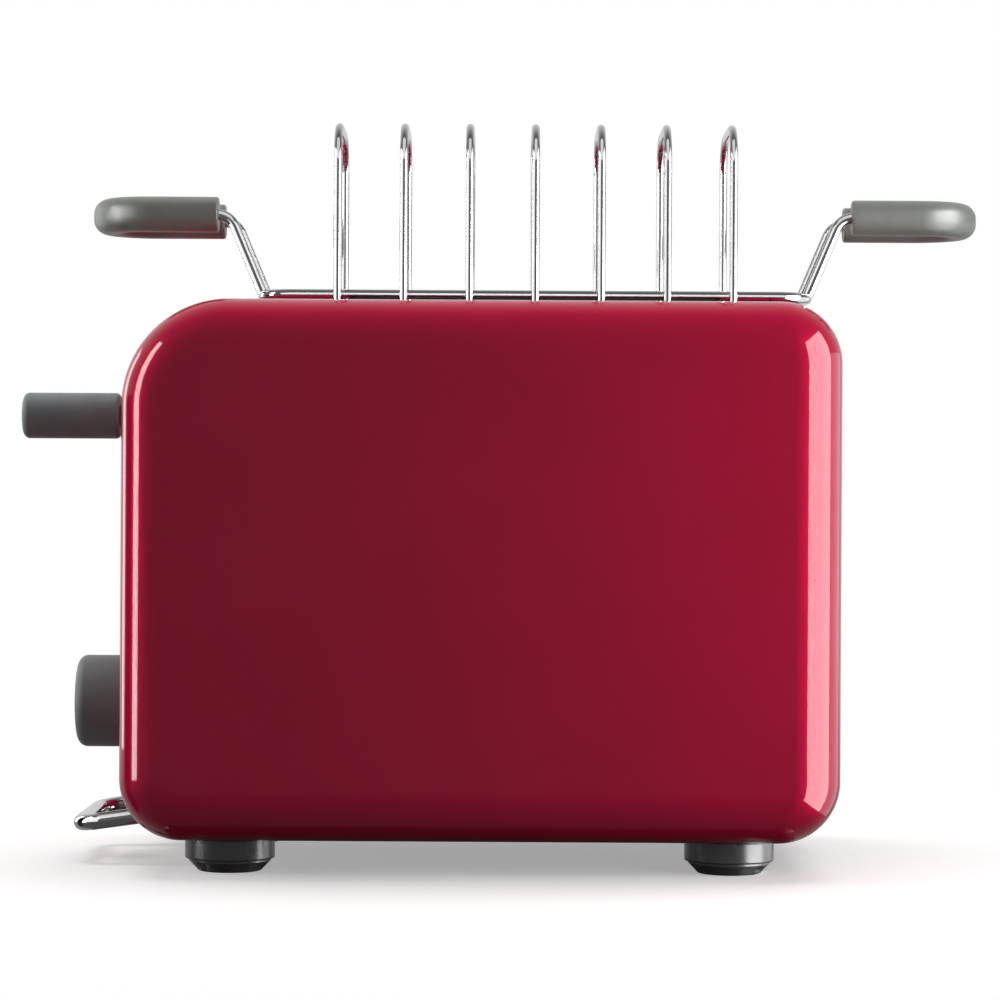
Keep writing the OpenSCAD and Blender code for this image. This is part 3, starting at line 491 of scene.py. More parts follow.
def turn_piece(name, foot, axis, profile, sides=64, hollow=False):
    """Extrude and scale a circle along a profile of (radius, height) in millimetres."""
    foot, axis = mm(*foot), Vector(axis)
    radius, height = profile[0]
    bpy.ops.mesh.primitive_circle_add(
        vertices=sides, radius=radius * MM, location=foot + axis * height * MM,
        fill_type="NOTHING" if hollow else "NGON", rotation=turned_to(axis))
    piece = settle(name)
    pick(piece, "EDGE" if hollow else "FACE")
    for next_radius, next_height in profile[1:]:
        extrude(axis * (next_height - height) * MM)
        grow = next_radius / radius
        bpy.ops.transform.resize(value=(grow, grow, grow),
                                 center_override=foot + axis * next_height * MM)
        radius, height = next_radius, next_height
    close_mesh()
    return piece


# %% Lever knob
LEVER_Z, KNOB_FOOT_X = 163.0, -134.8
knob_profile = ([(0.2, 0.0)] + arc(7.0, 1.5, 1.5, -90, 0) + arc(6.1, 33.6, 2.4, 0, 90, 8)
                + [(0.2, 36.0)])
lever_knob = turn_piece("lever_grip", (KNOB_FOOT_X, 0, LEVER_Z), (-1, 0, 0), knob_profile)
smooth(lever_knob)
hand_over(lever_knob, "carriage", "soft_grey", satin_grey, "lever_knob")

# %% [markdown]
# ## Browning dial and buttons
# The dial is a thick disc with a softly domed face, and a groove in the face
# points at the chosen number. A light bar lies in the groove. The buttons are
# short turned pegs with a shallow dish for the finger. Behind the panel each has a
# flange that keeps it in and a thin stem that stops just short of its switch.

# %% Browning dial
DIAL_R, DIAL_ROUND, DIAL_FOOT, DIAL_EDGE, DIAL_END = 17.0, 3.6, 0.8, 22.7, 23.6
GROOVE_OUT, GROOVE_FLOOR, GROOVE_HALF_W, GROOVE_LOW, GROOVE_TOP = -160, -148.5, 0.8, 7.6, 20
WELD, FINE_WELD, GROOVE_SOFT = 0.05, 0.005, 0.15
dome_w, dome_h = DIAL_R - DIAL_ROUND, DIAL_END - DIAL_EDGE
dome_r = (dome_w ** 2 + dome_h ** 2) / (2 * dome_h)
dome_turn = math.degrees(math.asin(dome_w / dome_r))
dial_profile = ([(3.0, DIAL_FOOT), (16.4, DIAL_FOOT)]
                + arc(16.4, DIAL_FOOT + 0.6, 0.6, -60, 0, 3)
                + arc(dome_w, DIAL_EDGE - DIAL_ROUND, DIAL_ROUND, 0, 88 - dome_turn, 10)
                + arc(0, DIAL_END - dome_r, dome_r, 90.4 - dome_turn, 89.9, 14))
dial = turn_piece("browning_dial", (-CASING_X, 0, DIAL_Z), (-1, 0, 0), dial_profile, sides=96)
cut(dial, add_block("pointer_groove", (GROOVE_OUT, -GROOVE_HALF_W, DIAL_Z + GROOVE_LOW),
                    (GROOVE_FLOOR, GROOVE_HALF_W, DIAL_Z + GROOVE_TOP)))
modify(dial, "WELD", merge_threshold=WELD * MM)
soften_edges(dial, GROOVE_SOFT, angle=60.0)
modify(dial, "WELD", merge_threshold=FINE_WELD * MM)
smooth(dial, 40.0)
hand_over(dial, "dial", "soft_grey", satin_grey, "dial_knob")

# %% Buttons
BUTTON_FACE, BUTTON_ROUND = 2.2, 0.9
button_profile = ([(0.3, -8.3), (2.5, -8.3), (2.5, -4.8), (7.5, -4.8), (7.5, -3.3), (5.5, -3.3)]
                  + [(5.5, BUTTON_FACE - BUTTON_ROUND)]
                  + arc(4.6, BUTTON_FACE - BUTTON_ROUND, BUTTON_ROUND, 15, 90, 5)
                  + [(radius, BUTTON_FACE - sink) for radius, sink in
                     ((3.6, 0.12), (2.4, 0.28), (1.2, 0.38), (0.1, 0.42))])


def copy_of(piece, name, move, turn=(0, 0, 0)):
    """A copy with its own mesh, turned by degrees and moved by millimetres."""
    work_on(piece)
    bpy.ops.object.duplicate(linked=False)
    bpy.context.object.rotation_euler = [math.radians(angle) for angle in turn]
    bpy.context.object.location = mm(*move)
    return settle(name)


reheat = turn_piece("reheat_key", (-CASING_X, 0, BUTTON_Z), (-1, 0, 0), button_profile, sides=48)
smooth(reheat, 45.0)
cancel = copy_of(reheat, "cancel_key", (0, -BUTTON_PITCH, 0))
defrost = copy_of(reheat, "defrost_key", (0, BUTTON_PITCH, 0))
for key, node in ((cancel, "cancel_button"), (reheat, "reheat_button"),
                  (defrost, "defrost_button")):
    hand_over(key, node, "soft_grey", satin_grey, node)

# %% [markdown]
# ## Bent wire
# Wire is made as it is bent: a filled circle, the wire's section, is extruded along
# each straight run and spun round each bend. The spin operator turns clockwise about
# its axis, so the axis of each bend is given with that in mind.

# %% Bent wire
BEND_STEP = 6


def bend_wire(name, start, along, thickness, path, sides=24):
    """Wire from a start: runs are (direction, length), bends are (centre, axis, degrees)."""
    bpy.ops.mesh.primitive_circle_add(vertices=sides, radius=thickness / 2 * MM, fill_type="NGON",
                                      location=mm(*start), rotation=turned_to(along))
    wire = settle(name)
    pick(wire, "FACE")
    for step in path:
        if len(step) == 2:
            extrude(Vector(step[0]) * step[1] * MM)
        else:
            centre, axis, degrees = step
            bpy.ops.mesh.spin(steps=max(4, round(degrees / BEND_STEP)),
                              angle=math.radians(degrees), center=mm(*centre), axis=axis,
                              use_auto_merge=False)
    return wire


def close_wire(wire, ring=False):
    """Close and smooth a wire. A ring first loses the two end faces, which meet."""
    if ring:
        pick(wire, "FACE", lambda face: len(face.verts) > 4)
        bpy.ops.mesh.delete(type="ONLY_FACE")
    close_mesh()
    smooth(wire, 40.0)


# %% [markdown]
# ## Markings at the controls
# The browning scale is printed round the dial: plain numbers with a tick at each
# half step, in a pale grey. The print stands out by the thickness of its ink. A
# light bar fills the dial's groove, and each button has a small raised sign: a
# crossed ring to cancel, a wave of heat to reheat, a snow crystal to defrost.

# %% Helpers for markings
def turned_copy(piece, name, degrees, y, z):
    """A copy turned about a line along X through (y, z), clockwise from the lever end."""
    centre = Vector((0, y, z))
    turned = Matrix.Rotation(math.radians(degrees), 3, "X") @ centre
    return copy_of(piece, name, centre - turned, (degrees, 0, 0))


def join(pieces):
    work_on(pieces[0])
    for piece in pieces[1:]:
        piece.select_set(True)
    bpy.ops.object.join()
    return pieces[0]


# %% Scale of the dial
INK = 0.06
FIGURES, FIGURE_R, FIGURE_SIZE = 6, 23.4, 4.2
TICK_LOW, TICK_HIGH, TICK_W, TICK_TURN = 18.6, 20.2, 0.5, 27.0
pale_print = speckled("pale_grey_print", (500.0, (0.60, 0.60, 0.59), (0.70, 0.70, 0.69)),
                      (300.0, 0.42, 0.56), IOR=1.45)
first_tick = add_block("dial_scale", (-CASING_X - INK, -TICK_W / 2, DIAL_Z + TICK_LOW),
                       (-CASING_X + INK, TICK_W / 2, DIAL_Z + TICK_HIGH))
round_edges(first_tick, lambda edge: edge_along(edge, 0), 0.2, segments=4)
scale = [first_tick] + [turned_copy(first_tick, "tick", step * TICK_TURN, 0, DIAL_Z)
                        for step in range(1 - FIGURES, FIGURES) if step]
for number in range(1, FIGURES + 1):
    angle = math.radians(TICK_TURN * (2 * number - 1 - FIGURES))
    bpy.ops.object.text_add(
        rotation=(math.pi / 2, 0, -math.pi / 2),
        location=mm(-CASING_X, -FIGURE_R * math.sin(angle), DIAL_Z + FIGURE_R * math.cos(angle)))
    figure = bpy.context.object
    figure.data.body = str(number)
    figure.data.size, figure.data.extrude = FIGURE_SIZE * MM, INK * MM
    figure.data.align_x = figure.data.align_y = "CENTER"
    bpy.ops.object.convert(target="MESH")
    scale.append(settle("figure"))
hand_over(join(scale), "casing", "soft_grey", pale_print)

# %% Pointer
POINTER_UP, POINTER_HALF_W, POINTER_LOW, POINTER_TOP = 1.3, 0.74, 7.7, 13.4
pointer = add_block("dial_pointer",
                    (GROOVE_FLOOR - POINTER_UP, -POINTER_HALF_W, DIAL_Z + POINTER_LOW),
                    (GROOVE_FLOOR - 0.01, POINTER_HALF_W, DIAL_Z + POINTER_TOP))
round_edges(pointer, lambda edge: edge_at(edge, x=GROOVE_FLOOR - POINTER_UP), 0.25, segments=3)
smooth(pointer)
hand_over(pointer, "dial", "soft_grey", pale_print)

# %% Signs to cancel and to defrost
SIGN_X, SIGN_R, SIGN_WIRE = -CASING_X - BUTTON_FACE + 0.30, 1.9, 0.34
SIGN_OUT, SIGN_IN = 0.25, 0.15


def sign_bar(name, y, half_length):
    """A thin upright bar across a button, with its ends rounded by a bevel."""
    bar = add_block(name, (SIGN_X - SIGN_OUT, y - SIGN_WIRE / 2, BUTTON_Z - half_length),
                    (SIGN_X + SIGN_IN, y + SIGN_WIRE / 2, BUTTON_Z + half_length))
    round_edges(bar, lambda edge: edge_along(edge, 0), 0.15, segments=4)
    return bar


half_ring = ((SIGN_X, -BUTTON_PITCH, BUTTON_Z), (-1, 0, 0), 180)
crossed = bend_wire("cancel_sign", (SIGN_X, -BUTTON_PITCH, BUTTON_Z + SIGN_R), (0, -1, 0),
                    SIGN_WIRE, [half_ring, half_ring], sides=10)
close_wire(crossed, ring=True)
stroke = sign_bar("stroke", -BUTTON_PITCH, SIGN_R - SIGN_WIRE)
stroke_turned = turned_copy(stroke, "stroke_turned", 45.0, -BUTTON_PITCH, BUTTON_Z)
bpy.data.objects.remove(stroke)
hand_over(join([crossed, stroke_turned]), "cancel_button", "soft_grey", pale_print)

arm = sign_bar("defrost_sign", BUTTON_PITCH, SIGN_R + 0.2)
crystal = [arm] + [turned_copy(arm, "crystal_arm", turn, BUTTON_PITCH, BUTTON_Z)
                   for turn in (60.0, 120.0)]
hand_over(join(crystal), "defrost_button", "soft_grey", pale_print)

# %% Sign to reheat
WAVE_R, WAVE_TURN, WAVE_PITCH = 0.62, 100.0, 1.15
half = math.radians(WAVE_TURN / 2)
step, sink = 2 * WAVE_R * math.sin(half), WAVE_R * math.cos(half)
low = BUTTON_Z - step
heat = []
for name, y in (("reheat_sign", -WAVE_PITCH), ("heat_wave_b", 0.0), ("heat_wave_c", WAVE_PITCH)):
    heat.append(bend_wire(
        name, (SIGN_X, y, low), (0, math.sin(half), math.cos(half)), SIGN_WIRE,
        [((SIGN_X, y - sink, low + step / 2), (-1, 0, 0), WAVE_TURN),
         ((SIGN_X, y + sink, low + step * 1.5), (1, 0, 0), WAVE_TURN)], sides=10))
    close_wire(heat[-1])
hand_over(join(heat), "reheat_button", "soft_grey", pale_print)

# %% [markdown]
# ## Feet
# Each foot is a turned moulding: a collar under the casing, a step, and a taper to
# the flat ring that it stands on, with a recess for its screw. One is made and
# three copies are set at the other corners.

# %% Feet
FOOT_X, FOOT_Y = 89.0, 52.0
foot_profile = ([(4.5, 4.5), (4.5, 0.3), (4.8, 0.0), (10.2, 0.0)]
                + arc(10.5, 1.4, 1.4, -80, -35, 5) + [(14.3, 3.4)]
                + arc(14.0, 3.8, 0.6, -30, 0, 3) + [(14.6, 4.4), (15.3, 4.4)]
                + arc(15.2, 5.2, 0.8, -70, 0, 4) + [(16.0, 11.4)]
                + arc(15.4, 11.4, 0.6, 0, 90, 3))
foot = turn_piece("foot_front_left_moulding", (-FOOT_X, -FOOT_Y, 0), (0, 0, 1), foot_profile,
                  sides=72)
smooth(foot, 40.0)
feet = [foot] + [copy_of(foot, f"foot_{corner}_moulding", move) for corner, move in (
    ("front_right", (2 * FOOT_X, 0, 0)), ("rear_left", (0, 2 * FOOT_Y, 0)),
    ("rear_right", (2 * FOOT_X, 2 * FOOT_Y, 0)))]
for piece in feet:
    hand_over(piece, "casing", "foot_grey", foot_grey, piece.name.replace("_moulding", ""))

# %% [markdown]
# ## Chromed wire
# The rack and the tray's pull are bent from bright chromed wire. Chrome is a little
# darker than silver or polished steel, so its edges still show against white.

# %% Chromed wire
chrome = speckled("bright_chrome", (45.0, (0.60, 0.60, 0.61), (0.67, 0.67, 0.68)),
                  (70.0, 0.045, 0.10), (400.0, 0.000002), Metallic=1.0)

# %% [markdown]
# ## Toast rack
# A ring of thicker wire lies on the deck, seven upside-down U loops stand in it,
# and two arms at each end rise to the grips. One loop is bent and copied along the
# rack, and the arms and the grip of one end are turned half round for the other.

# %% Ring
RACK_X, RING_Z = 19.0, 207.0
RING_HALF_L, RING_HALF_W, RING_CORNER, RING_WIRE = 99.9, 26.2, 12.0, 4.0
corner_x, corner_y = RING_HALF_L - RING_CORNER, RING_HALF_W - RING_CORNER


def ring_corner(side_x, side_y):
    return ((RACK_X + side_x * corner_x, side_y * corner_y, RING_Z), (0, 0, -1), 90)


ring = bend_wire("rack_wire_ring", (RACK_X, -RING_HALF_W, RING_Z), (1, 0, 0), RING_WIRE, [
    ((1, 0, 0), corner_x), ring_corner(1, -1),
    ((0, 1, 0), 2 * corner_y), ring_corner(1, 1),
    ((-1, 0, 0), 2 * corner_x), ring_corner(-1, 1),
    ((0, -1, 0), 2 * corner_y), ring_corner(-1, -1),
    ((1, 0, 0), corner_x)])
close_wire(ring, ring=True)
hand_over(ring, "rack", "chrome", chrome, "rack_ring")

# %% Loops
LOOP_FOOT, LOOP_SHOULDER, LOOP_BEND, LOOP_HALF_W, LOOP_WIRE = 203.1, 254.29, 15.0, 29.5, 3.0
LOOP_COUNT, LOOP_PITCH = 7, 24.0
first_x = RACK_X - LOOP_PITCH * (LOOP_COUNT - 1) / 2
leg = LOOP_SHOULDER - LOOP_FOOT
loops = bend_wire("rack_toast_loops", (first_x, -LOOP_HALF_W, LOOP_FOOT), (0, 0, 1), LOOP_WIRE, [
    ((0, 0, 1), leg), ((first_x, LOOP_BEND - LOOP_HALF_W, LOOP_SHOULDER), (1, 0, 0), 90),
    ((0, 1, 0), 2 * (LOOP_HALF_W - LOOP_BEND)),
    ((first_x, LOOP_HALF_W - LOOP_BEND, LOOP_SHOULDER), (1, 0, 0), 90), ((0, 0, -1), leg)])
close_wire(loops)
join([loops] + [copy_of(loops, f"loop_{place}", (place * LOOP_PITCH, 0, 0))
                for place in range(1, LOOP_COUNT)])
hand_over(loops, "rack", "chrome", chrome, "rack_loops")

# %% Arms
ARM_Y, ARM_FOOT_X, ARM_TOP_X, ARM_TOP_Z, ARM_BEND = 16.0, 99.76, 112.3, 236.8, 7.0
GRIP_IN, GRIP_PLUG = 116.3, 13.0
rise = Vector((ARM_TOP_X - ARM_FOOT_X, 0, ARM_TOP_Z - RING_Z))
slope = rise.normalized()
turn = math.acos(slope.x)
tangent = ARM_BEND * math.tan(turn / 2)
bend_start = Vector((RACK_X + ARM_TOP_X, 0, ARM_TOP_Z)) - slope * tangent
bend_centre = bend_start + Vector((slope.z, 0, -slope.x)) * ARM_BEND
HALF_ROUND = ((2 * RACK_X, 0, 0), (0, 0, 180))


def right_arm(name, y):
    arm = bend_wire(name, (RACK_X + ARM_FOOT_X, y, RING_Z), slope, RING_WIRE, [
        (slope, rise.length - tangent),
        (bend_centre + Vector((0, y, 0)), (0, -1, 0), math.degrees(turn)),
        ((1, 0, 0), GRIP_IN + GRIP_PLUG - ARM_TOP_X - tangent)])
    close_wire(arm)
    return arm


right_arms = join([right_arm("rack_right_wires", -ARM_Y),
                   right_arm("rack_right_wire_rear", ARM_Y)])
left_arms = copy_of(right_arms, "rack_left_wires", *HALF_ROUND)
hand_over(right_arms, "rack", "chrome", chrome, "rack_right_arms")
hand_over(left_arms, "rack", "chrome", chrome, "rack_left_arms")

# %% [markdown]
# ## Grips
# Each handle is a grey U of plastic pushed over the two arms. Its section is a
# rectangle rounded almost to an oval: a plane with bevelled corners, extruded
# along one leg, spun half round and extruded back. The cut ends get a small round.

# %% Grips
GRIP_L, GRIP_W, GRIP_H, GRIP_ROUND, GRIP_END_ROUND = 47.68, 12.0, 13.0, 5.4, 0.9
leg_l = GRIP_L - ARM_Y - GRIP_W / 2
bpy.ops.mesh.primitive_plane_add(size=1, location=mm(RACK_X + GRIP_IN, -ARM_Y, ARM_TOP_Z),
                                 rotation=(0, math.pi / 2, 0))
bpy.context.object.scale = (GRIP_H * MM, GRIP_W * MM, 1)
right_grip = settle("rack_right_handle")
pick(right_grip, "VERT")
bpy.ops.mesh.bevel(offset=GRIP_ROUND * MM, segments=8, affect="VERTICES")
pick(right_grip, "FACE")
extrude(mm(leg_l, 0, 0))
bpy.ops.mesh.spin(steps=36, angle=math.pi, center=mm(RACK_X + GRIP_IN + leg_l, 0, ARM_TOP_Z),
                  axis=(0, 0, -1), use_auto_merge=False)
extrude(mm(-leg_l, 0, 0))
close_mesh()
soften_edges(right_grip, GRIP_END_ROUND, segments=4, angle=60.0)
smooth(right_grip, 40.0)
left_grip = copy_of(right_grip, "rack_left_handle", *HALF_ROUND)
hand_over(right_grip, "rack", "soft_grey", grip_grey, "rack_right_grip")
hand_over(left_grip, "rack", "soft_grey", grip_grey, "rack_left_grip")

# %% [markdown]
# ## Pull of the crumb tray
# A U of thick chromed wire stands out of the tray's front, tilted a little down.
# It is bent as the rack is, in its own tilted plane.

# %% Pull of the crumb tray
PULL_Y, PULL_WIRE, PULL_BEND, PULL_RUN = 34.0, 6.0, 8.0, 23.6
PULL_ROOT = Vector((-113.8, -PULL_Y, 18.8))
PULL_TILT = math.radians(8)
outward = Vector((-math.cos(PULL_TILT), 0, -math.sin(PULL_TILT)))
plane_up = Vector((-math.sin(PULL_TILT), 0, math.cos(PULL_TILT)))
across = 2 * (PULL_Y - PULL_BEND)
first_centre = PULL_ROOT + outward * PULL_RUN + Vector((0, PULL_BEND, 0))
second_centre = first_centre + Vector((0, across, 0))
pull = bend_wire("tray_wire_pull", PULL_ROOT, outward, PULL_WIRE, [
    (outward, PULL_RUN), (first_centre, plane_up, 90), ((0, 1, 0), across),
    (second_centre, plane_up, 90), (-outward, PULL_RUN)])
close_wire(pull)
hand_over(pull, "tray", "chrome", chrome, "tray_pull")

# %% [markdown]
# ## Finishes of the works
# The frame plates, the liner, the shields and the tray are plain rolled steel with
# the fine lines of the mill along their length. The base plate and the latch are
# darker, with the soft cloud of a phosphate coat. Mica is flaky, so cells take the
# place of noise there. The coil shows its turns, and the board its tracks.

# %% Steel, moulding and ribbon
rolled_steel, tree, shader, coords = new_finish("rolled_steel", Metallic=1.0)
two_tone(tree, shader, grain(tree, coords, 60.0), (0.52, 0.53, 0.54), (0.62, 0.63, 0.64))
lines = grain(tree, coords, 300.0, 2.0, stretch=(0.06, 1.0, 1.0))
vary_gloss(tree, shader, lines, 0.26, 0.40)
relief(tree, shader, lines, 0.000004)

dark_steel, tree, shader, coords = new_finish("phosphated_steel", Metallic=0.9)
two_tone(tree, shader, grain(tree, coords, 150.0, 5.0), (0.15, 0.155, 0.16), (0.24, 0.245, 0.25))
vary_gloss(tree, shader, grain(tree, coords, 90.0), 0.42, 0.56)
relief(tree, shader, grain(tree, coords, 900.0), 0.000006)
print("finish", rolled_steel.name, dark_steel.name)

black_plastic = speckled("black_moulding", (100.0, (0.012, 0.012, 0.012), (0.020, 0.020, 0.021)),
                         (130.0, 0.42, 0.54), (1800.0, 0.00002))
ribbon = speckled("heat_tinted_ribbon", (80.0, (0.20, 0.18, 0.17), (0.36, 0.33, 0.31)),
                  (400.0, 0.35, 0.50), Metallic=0.9)

# %% Mica, coil and board
mica, tree, shader, coords = new_finish("flaky_mica")
flakes = add_node(tree, "TexVoronoi", Vector=coords, Scale=170.0)
two_tone(tree, shader, flakes.outputs["Distance"], (0.55, 0.46, 0.30), (0.40, 0.32, 0.20))
vary_gloss(tree, shader, grain(tree, coords, 220.0), 0.25, 0.45)
relief(tree, shader, flakes.outputs["Distance"], 0.00003)

winding, tree, shader, coords = new_finish("copper_winding", Metallic=1.0)
turns = add_node(tree, "TexWave", Vector=coords, Scale=900.0)
turns.bands_direction = "Z"
two_tone(tree, shader, turns.outputs["Fac"], (0.26, 0.10, 0.035), (0.62, 0.27, 0.11))
vary_gloss(tree, shader, grain(tree, coords, 300.0), 0.25, 0.35)
relief(tree, shader, turns.outputs["Fac"], 0.0001)

board_green, tree, shader, coords = new_finish("lacquered_board")
side_on = add_node(tree, "Mapping", Vector=coords, Rotation=(0.0, math.pi / 2, 0.0))
tracks = add_node(tree, "TexBrick", Vector=side_on.outputs["Vector"], Scale=110.0,
                  Color1=(0.012, 0.085, 0.030, 1.0), Color2=(0.016, 0.110, 0.040, 1.0),
                  Mortar=(0.045, 0.200, 0.075, 1.0), Mortar_Size=0.06)
plug(tree, shader, Base_Color=tracks.outputs["Color"])
vary_gloss(tree, shader, grain(tree, coords, 200.0), 0.2, 0.35)
print("finish", mica.name, winding.name, board_green.name)

# %% [markdown]
# ## Crumb tray
# The tray is a shallow pan of bent sheet. A block's upright corners are rounded, its
# top face is inset by the wall and pushed down, and the rim is softened.

# %% Crumb tray
TRAY_X0, TRAY_X1, TRAY_Y = -105, 94, 46
TRAY_LOW, TRAY_TOP, TRAY_WALL, TRAY_CORNER = 14.3, 23.3, 0.8, 3.0
pan = add_block("tray_pan", (TRAY_X0, -TRAY_Y, TRAY_LOW), (TRAY_X1, TRAY_Y, TRAY_TOP))
round_edges(pan, lambda edge: edge_along(edge, 2), TRAY_CORNER, segments=6)
pick(pan, "FACE", lambda face: face.normal.z > ALONG)
bpy.ops.mesh.inset(thickness=TRAY_WALL * MM)
extrude(mm(0, 0, TRAY_LOW + TRAY_WALL - TRAY_TOP))
soften_edges(pan, 0.25, segments=2, angle=60.0)
smooth(pan, 40.0)
hand_over(pan, "tray", "steel", rolled_steel, "crumb_tray")

# %% [markdown]
# ## Cord gland
# A stepped black bush lines the hole where the mains lead enters at the far end.
# It is turned as a ring, with its bore left open.

# %% Cord gland
gland_profile = ([(3.7, -9.0), (6.0, -9.0), (6.0, 0.0), (9.0, 0.0), (9.0, 1.7)]
                 + arc(8.2, 1.7, 0.8, 15, 90, 4) + arc(4.5, 1.7, 0.8, 90, 180, 4)
                 + [(3.7, -9.0)])
gland = turn_piece("cord_bush", (CASING_X, GLAND_Y, GLAND_Z), (1, 0, 0), gland_profile, sides=48,
                   hollow=True)
smooth(gland, 40.0)
hand_over(gland, "casing", "black_plastic", black_plastic, "cord_gland")

# %% [markdown]
# ## Carriage spring
# A coil spring round the guide rod lifts the bread. The Screw modifier winds a
# small circle round the rod.

# %% Carriage spring
ROD_X, SPRING_R, SPRING_WIRE_R = -83.5, 4.6, 0.5
SPRING_LOW, SPRING_TOP, SPRING_TURNS, TURN_STEPS = 31.3, 109.2, 12, 24
bpy.ops.mesh.primitive_circle_add(vertices=10, radius=SPRING_WIRE_R * MM,
                                  location=mm(SPRING_R, 0, 0), rotation=(math.pi / 2, 0, 0))
spring = settle("lift_spring")
modify(spring, "SCREW", angle=2 * math.pi, iterations=SPRING_TURNS, steps=TURN_STEPS,
       render_steps=TURN_STEPS, axis="Z", use_merge_vertices=True,
       screw_offset=(SPRING_TOP - SPRING_LOW) / SPRING_TURNS * MM)
pick(spring, "EDGE", lambda edge: edge.is_boundary)
bpy.ops.mesh.edge_face_add()
close_mesh()
spring.location = mm(ROD_X, 0, SPRING_LOW)
spring = settle("lift_spring")
smooth(spring, 50.0)
hand_over(spring, "casing", "steel", rolled_steel, "carriage_spring")
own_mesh(spring)

# %% [markdown]
# ## Finishes on the remaining solids
# Some solids have their true shape already, such as the plates, the wires of the
# bread guides and the latch. They keep their mesh and only get their finish. The
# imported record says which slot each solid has, so one table of finishes is enough.

# %% Finishes on the remaining solids
finish_of_slot = {
    "red_paint": enamel, "soft_grey": satin_grey, "foot_grey": foot_grey, "chrome": chrome,
    "steel": rolled_steel, "dark_steel": dark_steel, "black_plastic": black_plastic,
    "mica": mica, "nichrome": ribbon, "copper": winding, "board_green": board_green}
solids = frame["record"]["subparts"]
for solid in solids:
    for place in parts[solid["node"]].material_slots:
        place.material = finish_of_slot[solid["material_slot"]]
print(len(solids), "of", len(parts), "solids finished")

# %% [markdown]
# ## Floor and surroundings
# The toaster stands on a plain pale floor in front of white. Near the toaster the
# floor takes its shadow, and further off it runs into the white of the background.
# Gloss and metal see a bright backdrop behind the toaster and a dim room behind the
# camera, as in a photographer's studio. In gloss the floor glows with painted light,
# brighter towards the back, with a painted shadow near the toaster. The floor is open
# from below, so that the underside can be looked at too.

# %% Helpers for the surroundings
def fade_in(tree, value, start, end, low=0.0, high=1.0):
    """A soft step from one level to another while a value rises."""
    step = add_node(tree, "MapRange", Value=value, From_Min=start, From_Max=end, To_Min=low,
                    To_Max=high)
    step.interpolation_type = "SMOOTHSTEP"
    return step.outputs["Result"]


def combine(tree, kind, first, second, operation=None):
    """A node that puts two values or two shaders together."""
    node = add_node(tree, kind)
    if operation:
        node.operation = operation
    tree.links.new(first, node.inputs[0])
    tree.links.new(second, node.inputs[1])
    return node.outputs[0]


def mix(tree, share, first, second):
    """Two shaders, mixed by a share."""
    node = add_node(tree, "MixShader")
    for place, value in enumerate((share, first, second)):
        tree.links.new(value, node.inputs[place])
    return node.outputs["Shader"]


def seen_directly(tree):
    """1 for what the camera sees, also through glass, and 1 for what gloss sees."""
    rays = add_node(tree, "LightPath").outputs
    direct = combine(tree, "Math", rays["Is Camera Ray"], rays["Is Transmission Ray"], "MAXIMUM")
    return direct, rays["Is Glossy Ray"]


# %% Floor
ROOM_LIGHT, ROOM_FRONT, ROOM_BACK = 0.06, 0.15, 0.75
bpy.ops.mesh.primitive_plane_add(size=6.0, location=(0, 0, 0))
floor = settle("floor")
floor_paint, tree, shader, coords = new_finish(
    "pale_floor", Roughness=0.9, Specular_IOR_Level=0.0, Base_Color=(0.80, 0.80, 0.80, 1.0))
away = add_node(tree, "VectorMath", Vector=coords)
away.operation = "LENGTH"
distance = away.outputs["Value"]
split = add_node(tree, "SeparateXYZ", Vector=coords)

lift = add_node(tree, "Emission", Strength=0.35).outputs["Emission"]
lifted = combine(tree, "AddShader", shader.outputs["BSDF"], lift)
white_afar = mix(tree, fade_in(tree, distance, 0.15, 0.40), lifted,
                 add_node(tree, "Emission", Strength=1.0).outputs["Emission"])

# In gloss the floor glows: painted light that rises towards the back, and a painted shadow that
# darkens it near the toaster.
painted_light_to_back = fade_in(tree, split.outputs["Y"], 0.0, 1.2, 0.45 * ROOM_FRONT, 0.35)
painted_shadow_near = fade_in(tree, distance, 0.10, 0.55, 0.25, 1.0)
painted_floor_glow = add_node(tree, "Emission",
                      Strength=combine(tree, "Math", painted_light_to_back, painted_shadow_near, "MULTIPLY"))
sheen = add_node(tree, "BsdfGlossy", Color=(0.50, 0.50, 0.50, 1.0), Roughness=0.08)
polished = combine(tree, "AddShader", painted_floor_glow.outputs["Emission"], sheen.outputs["BSDF"])

matt = add_node(tree, "BsdfDiffuse", Color=(0.16, 0.16, 0.16, 1.0))
direct, mirrored = seen_directly(tree)
from_above = mix(tree, direct, mix(tree, mirrored, matt.outputs["BSDF"], polished), white_afar)
from_below = add_node(tree, "BsdfTransparent").outputs["BSDF"]
below = add_node(tree, "NewGeometry").outputs["Backfacing"]
plug(tree, tree.nodes["Material Output"], Surface=mix(tree, below, from_above, from_below))
floor.data.materials.append(floor_paint)
print("floor", tuple(floor.dimensions))

# %% Surroundings
WHITE = (1.0, 1.0, 1.0, 1.0)
world = bpy.data.worlds.new("white_studio")
bpy.context.scene.world = world
world.use_nodes = True
tree = world.node_tree
tree.nodes.clear()
split = add_node(tree, "SeparateXYZ", Vector=add_node(tree, "TexCoord").outputs["Generated"])
depth = fade_in(tree, split.outputs["Y"], -0.1, 1.0, ROOM_FRONT, ROOM_BACK)
soft, in_gloss, white = (add_node(tree, "Background", Color=WHITE, Strength=strength)
                         for strength in (ROOM_LIGHT, depth, 1.0))
direct, mirrored = seen_directly(tree)
room = mix(tree, mirrored, soft.outputs["Background"], in_gloss.outputs["Background"])
add_node(tree, "OutputWorld", Surface=mix(tree, direct, room, white.outputs["Background"]))
print("room light", ROOM_LIGHT)

# %% [markdown]
# ## Studio lamps
# The photograph's highlights tell where its lamps stood. A wide softbox on the
# right gives the broad pink band on the rolled edge, and a narrow strip on the left
# gives the thin pale line. A photographer shapes gloss and matt light apart, so the
# cards here show only in gloss and the cloths give only soft light. Each card is
# flagged off from the pieces that it isn't for. One pair stands mirrored behind the
# toaster, so that the back shines as the front does.

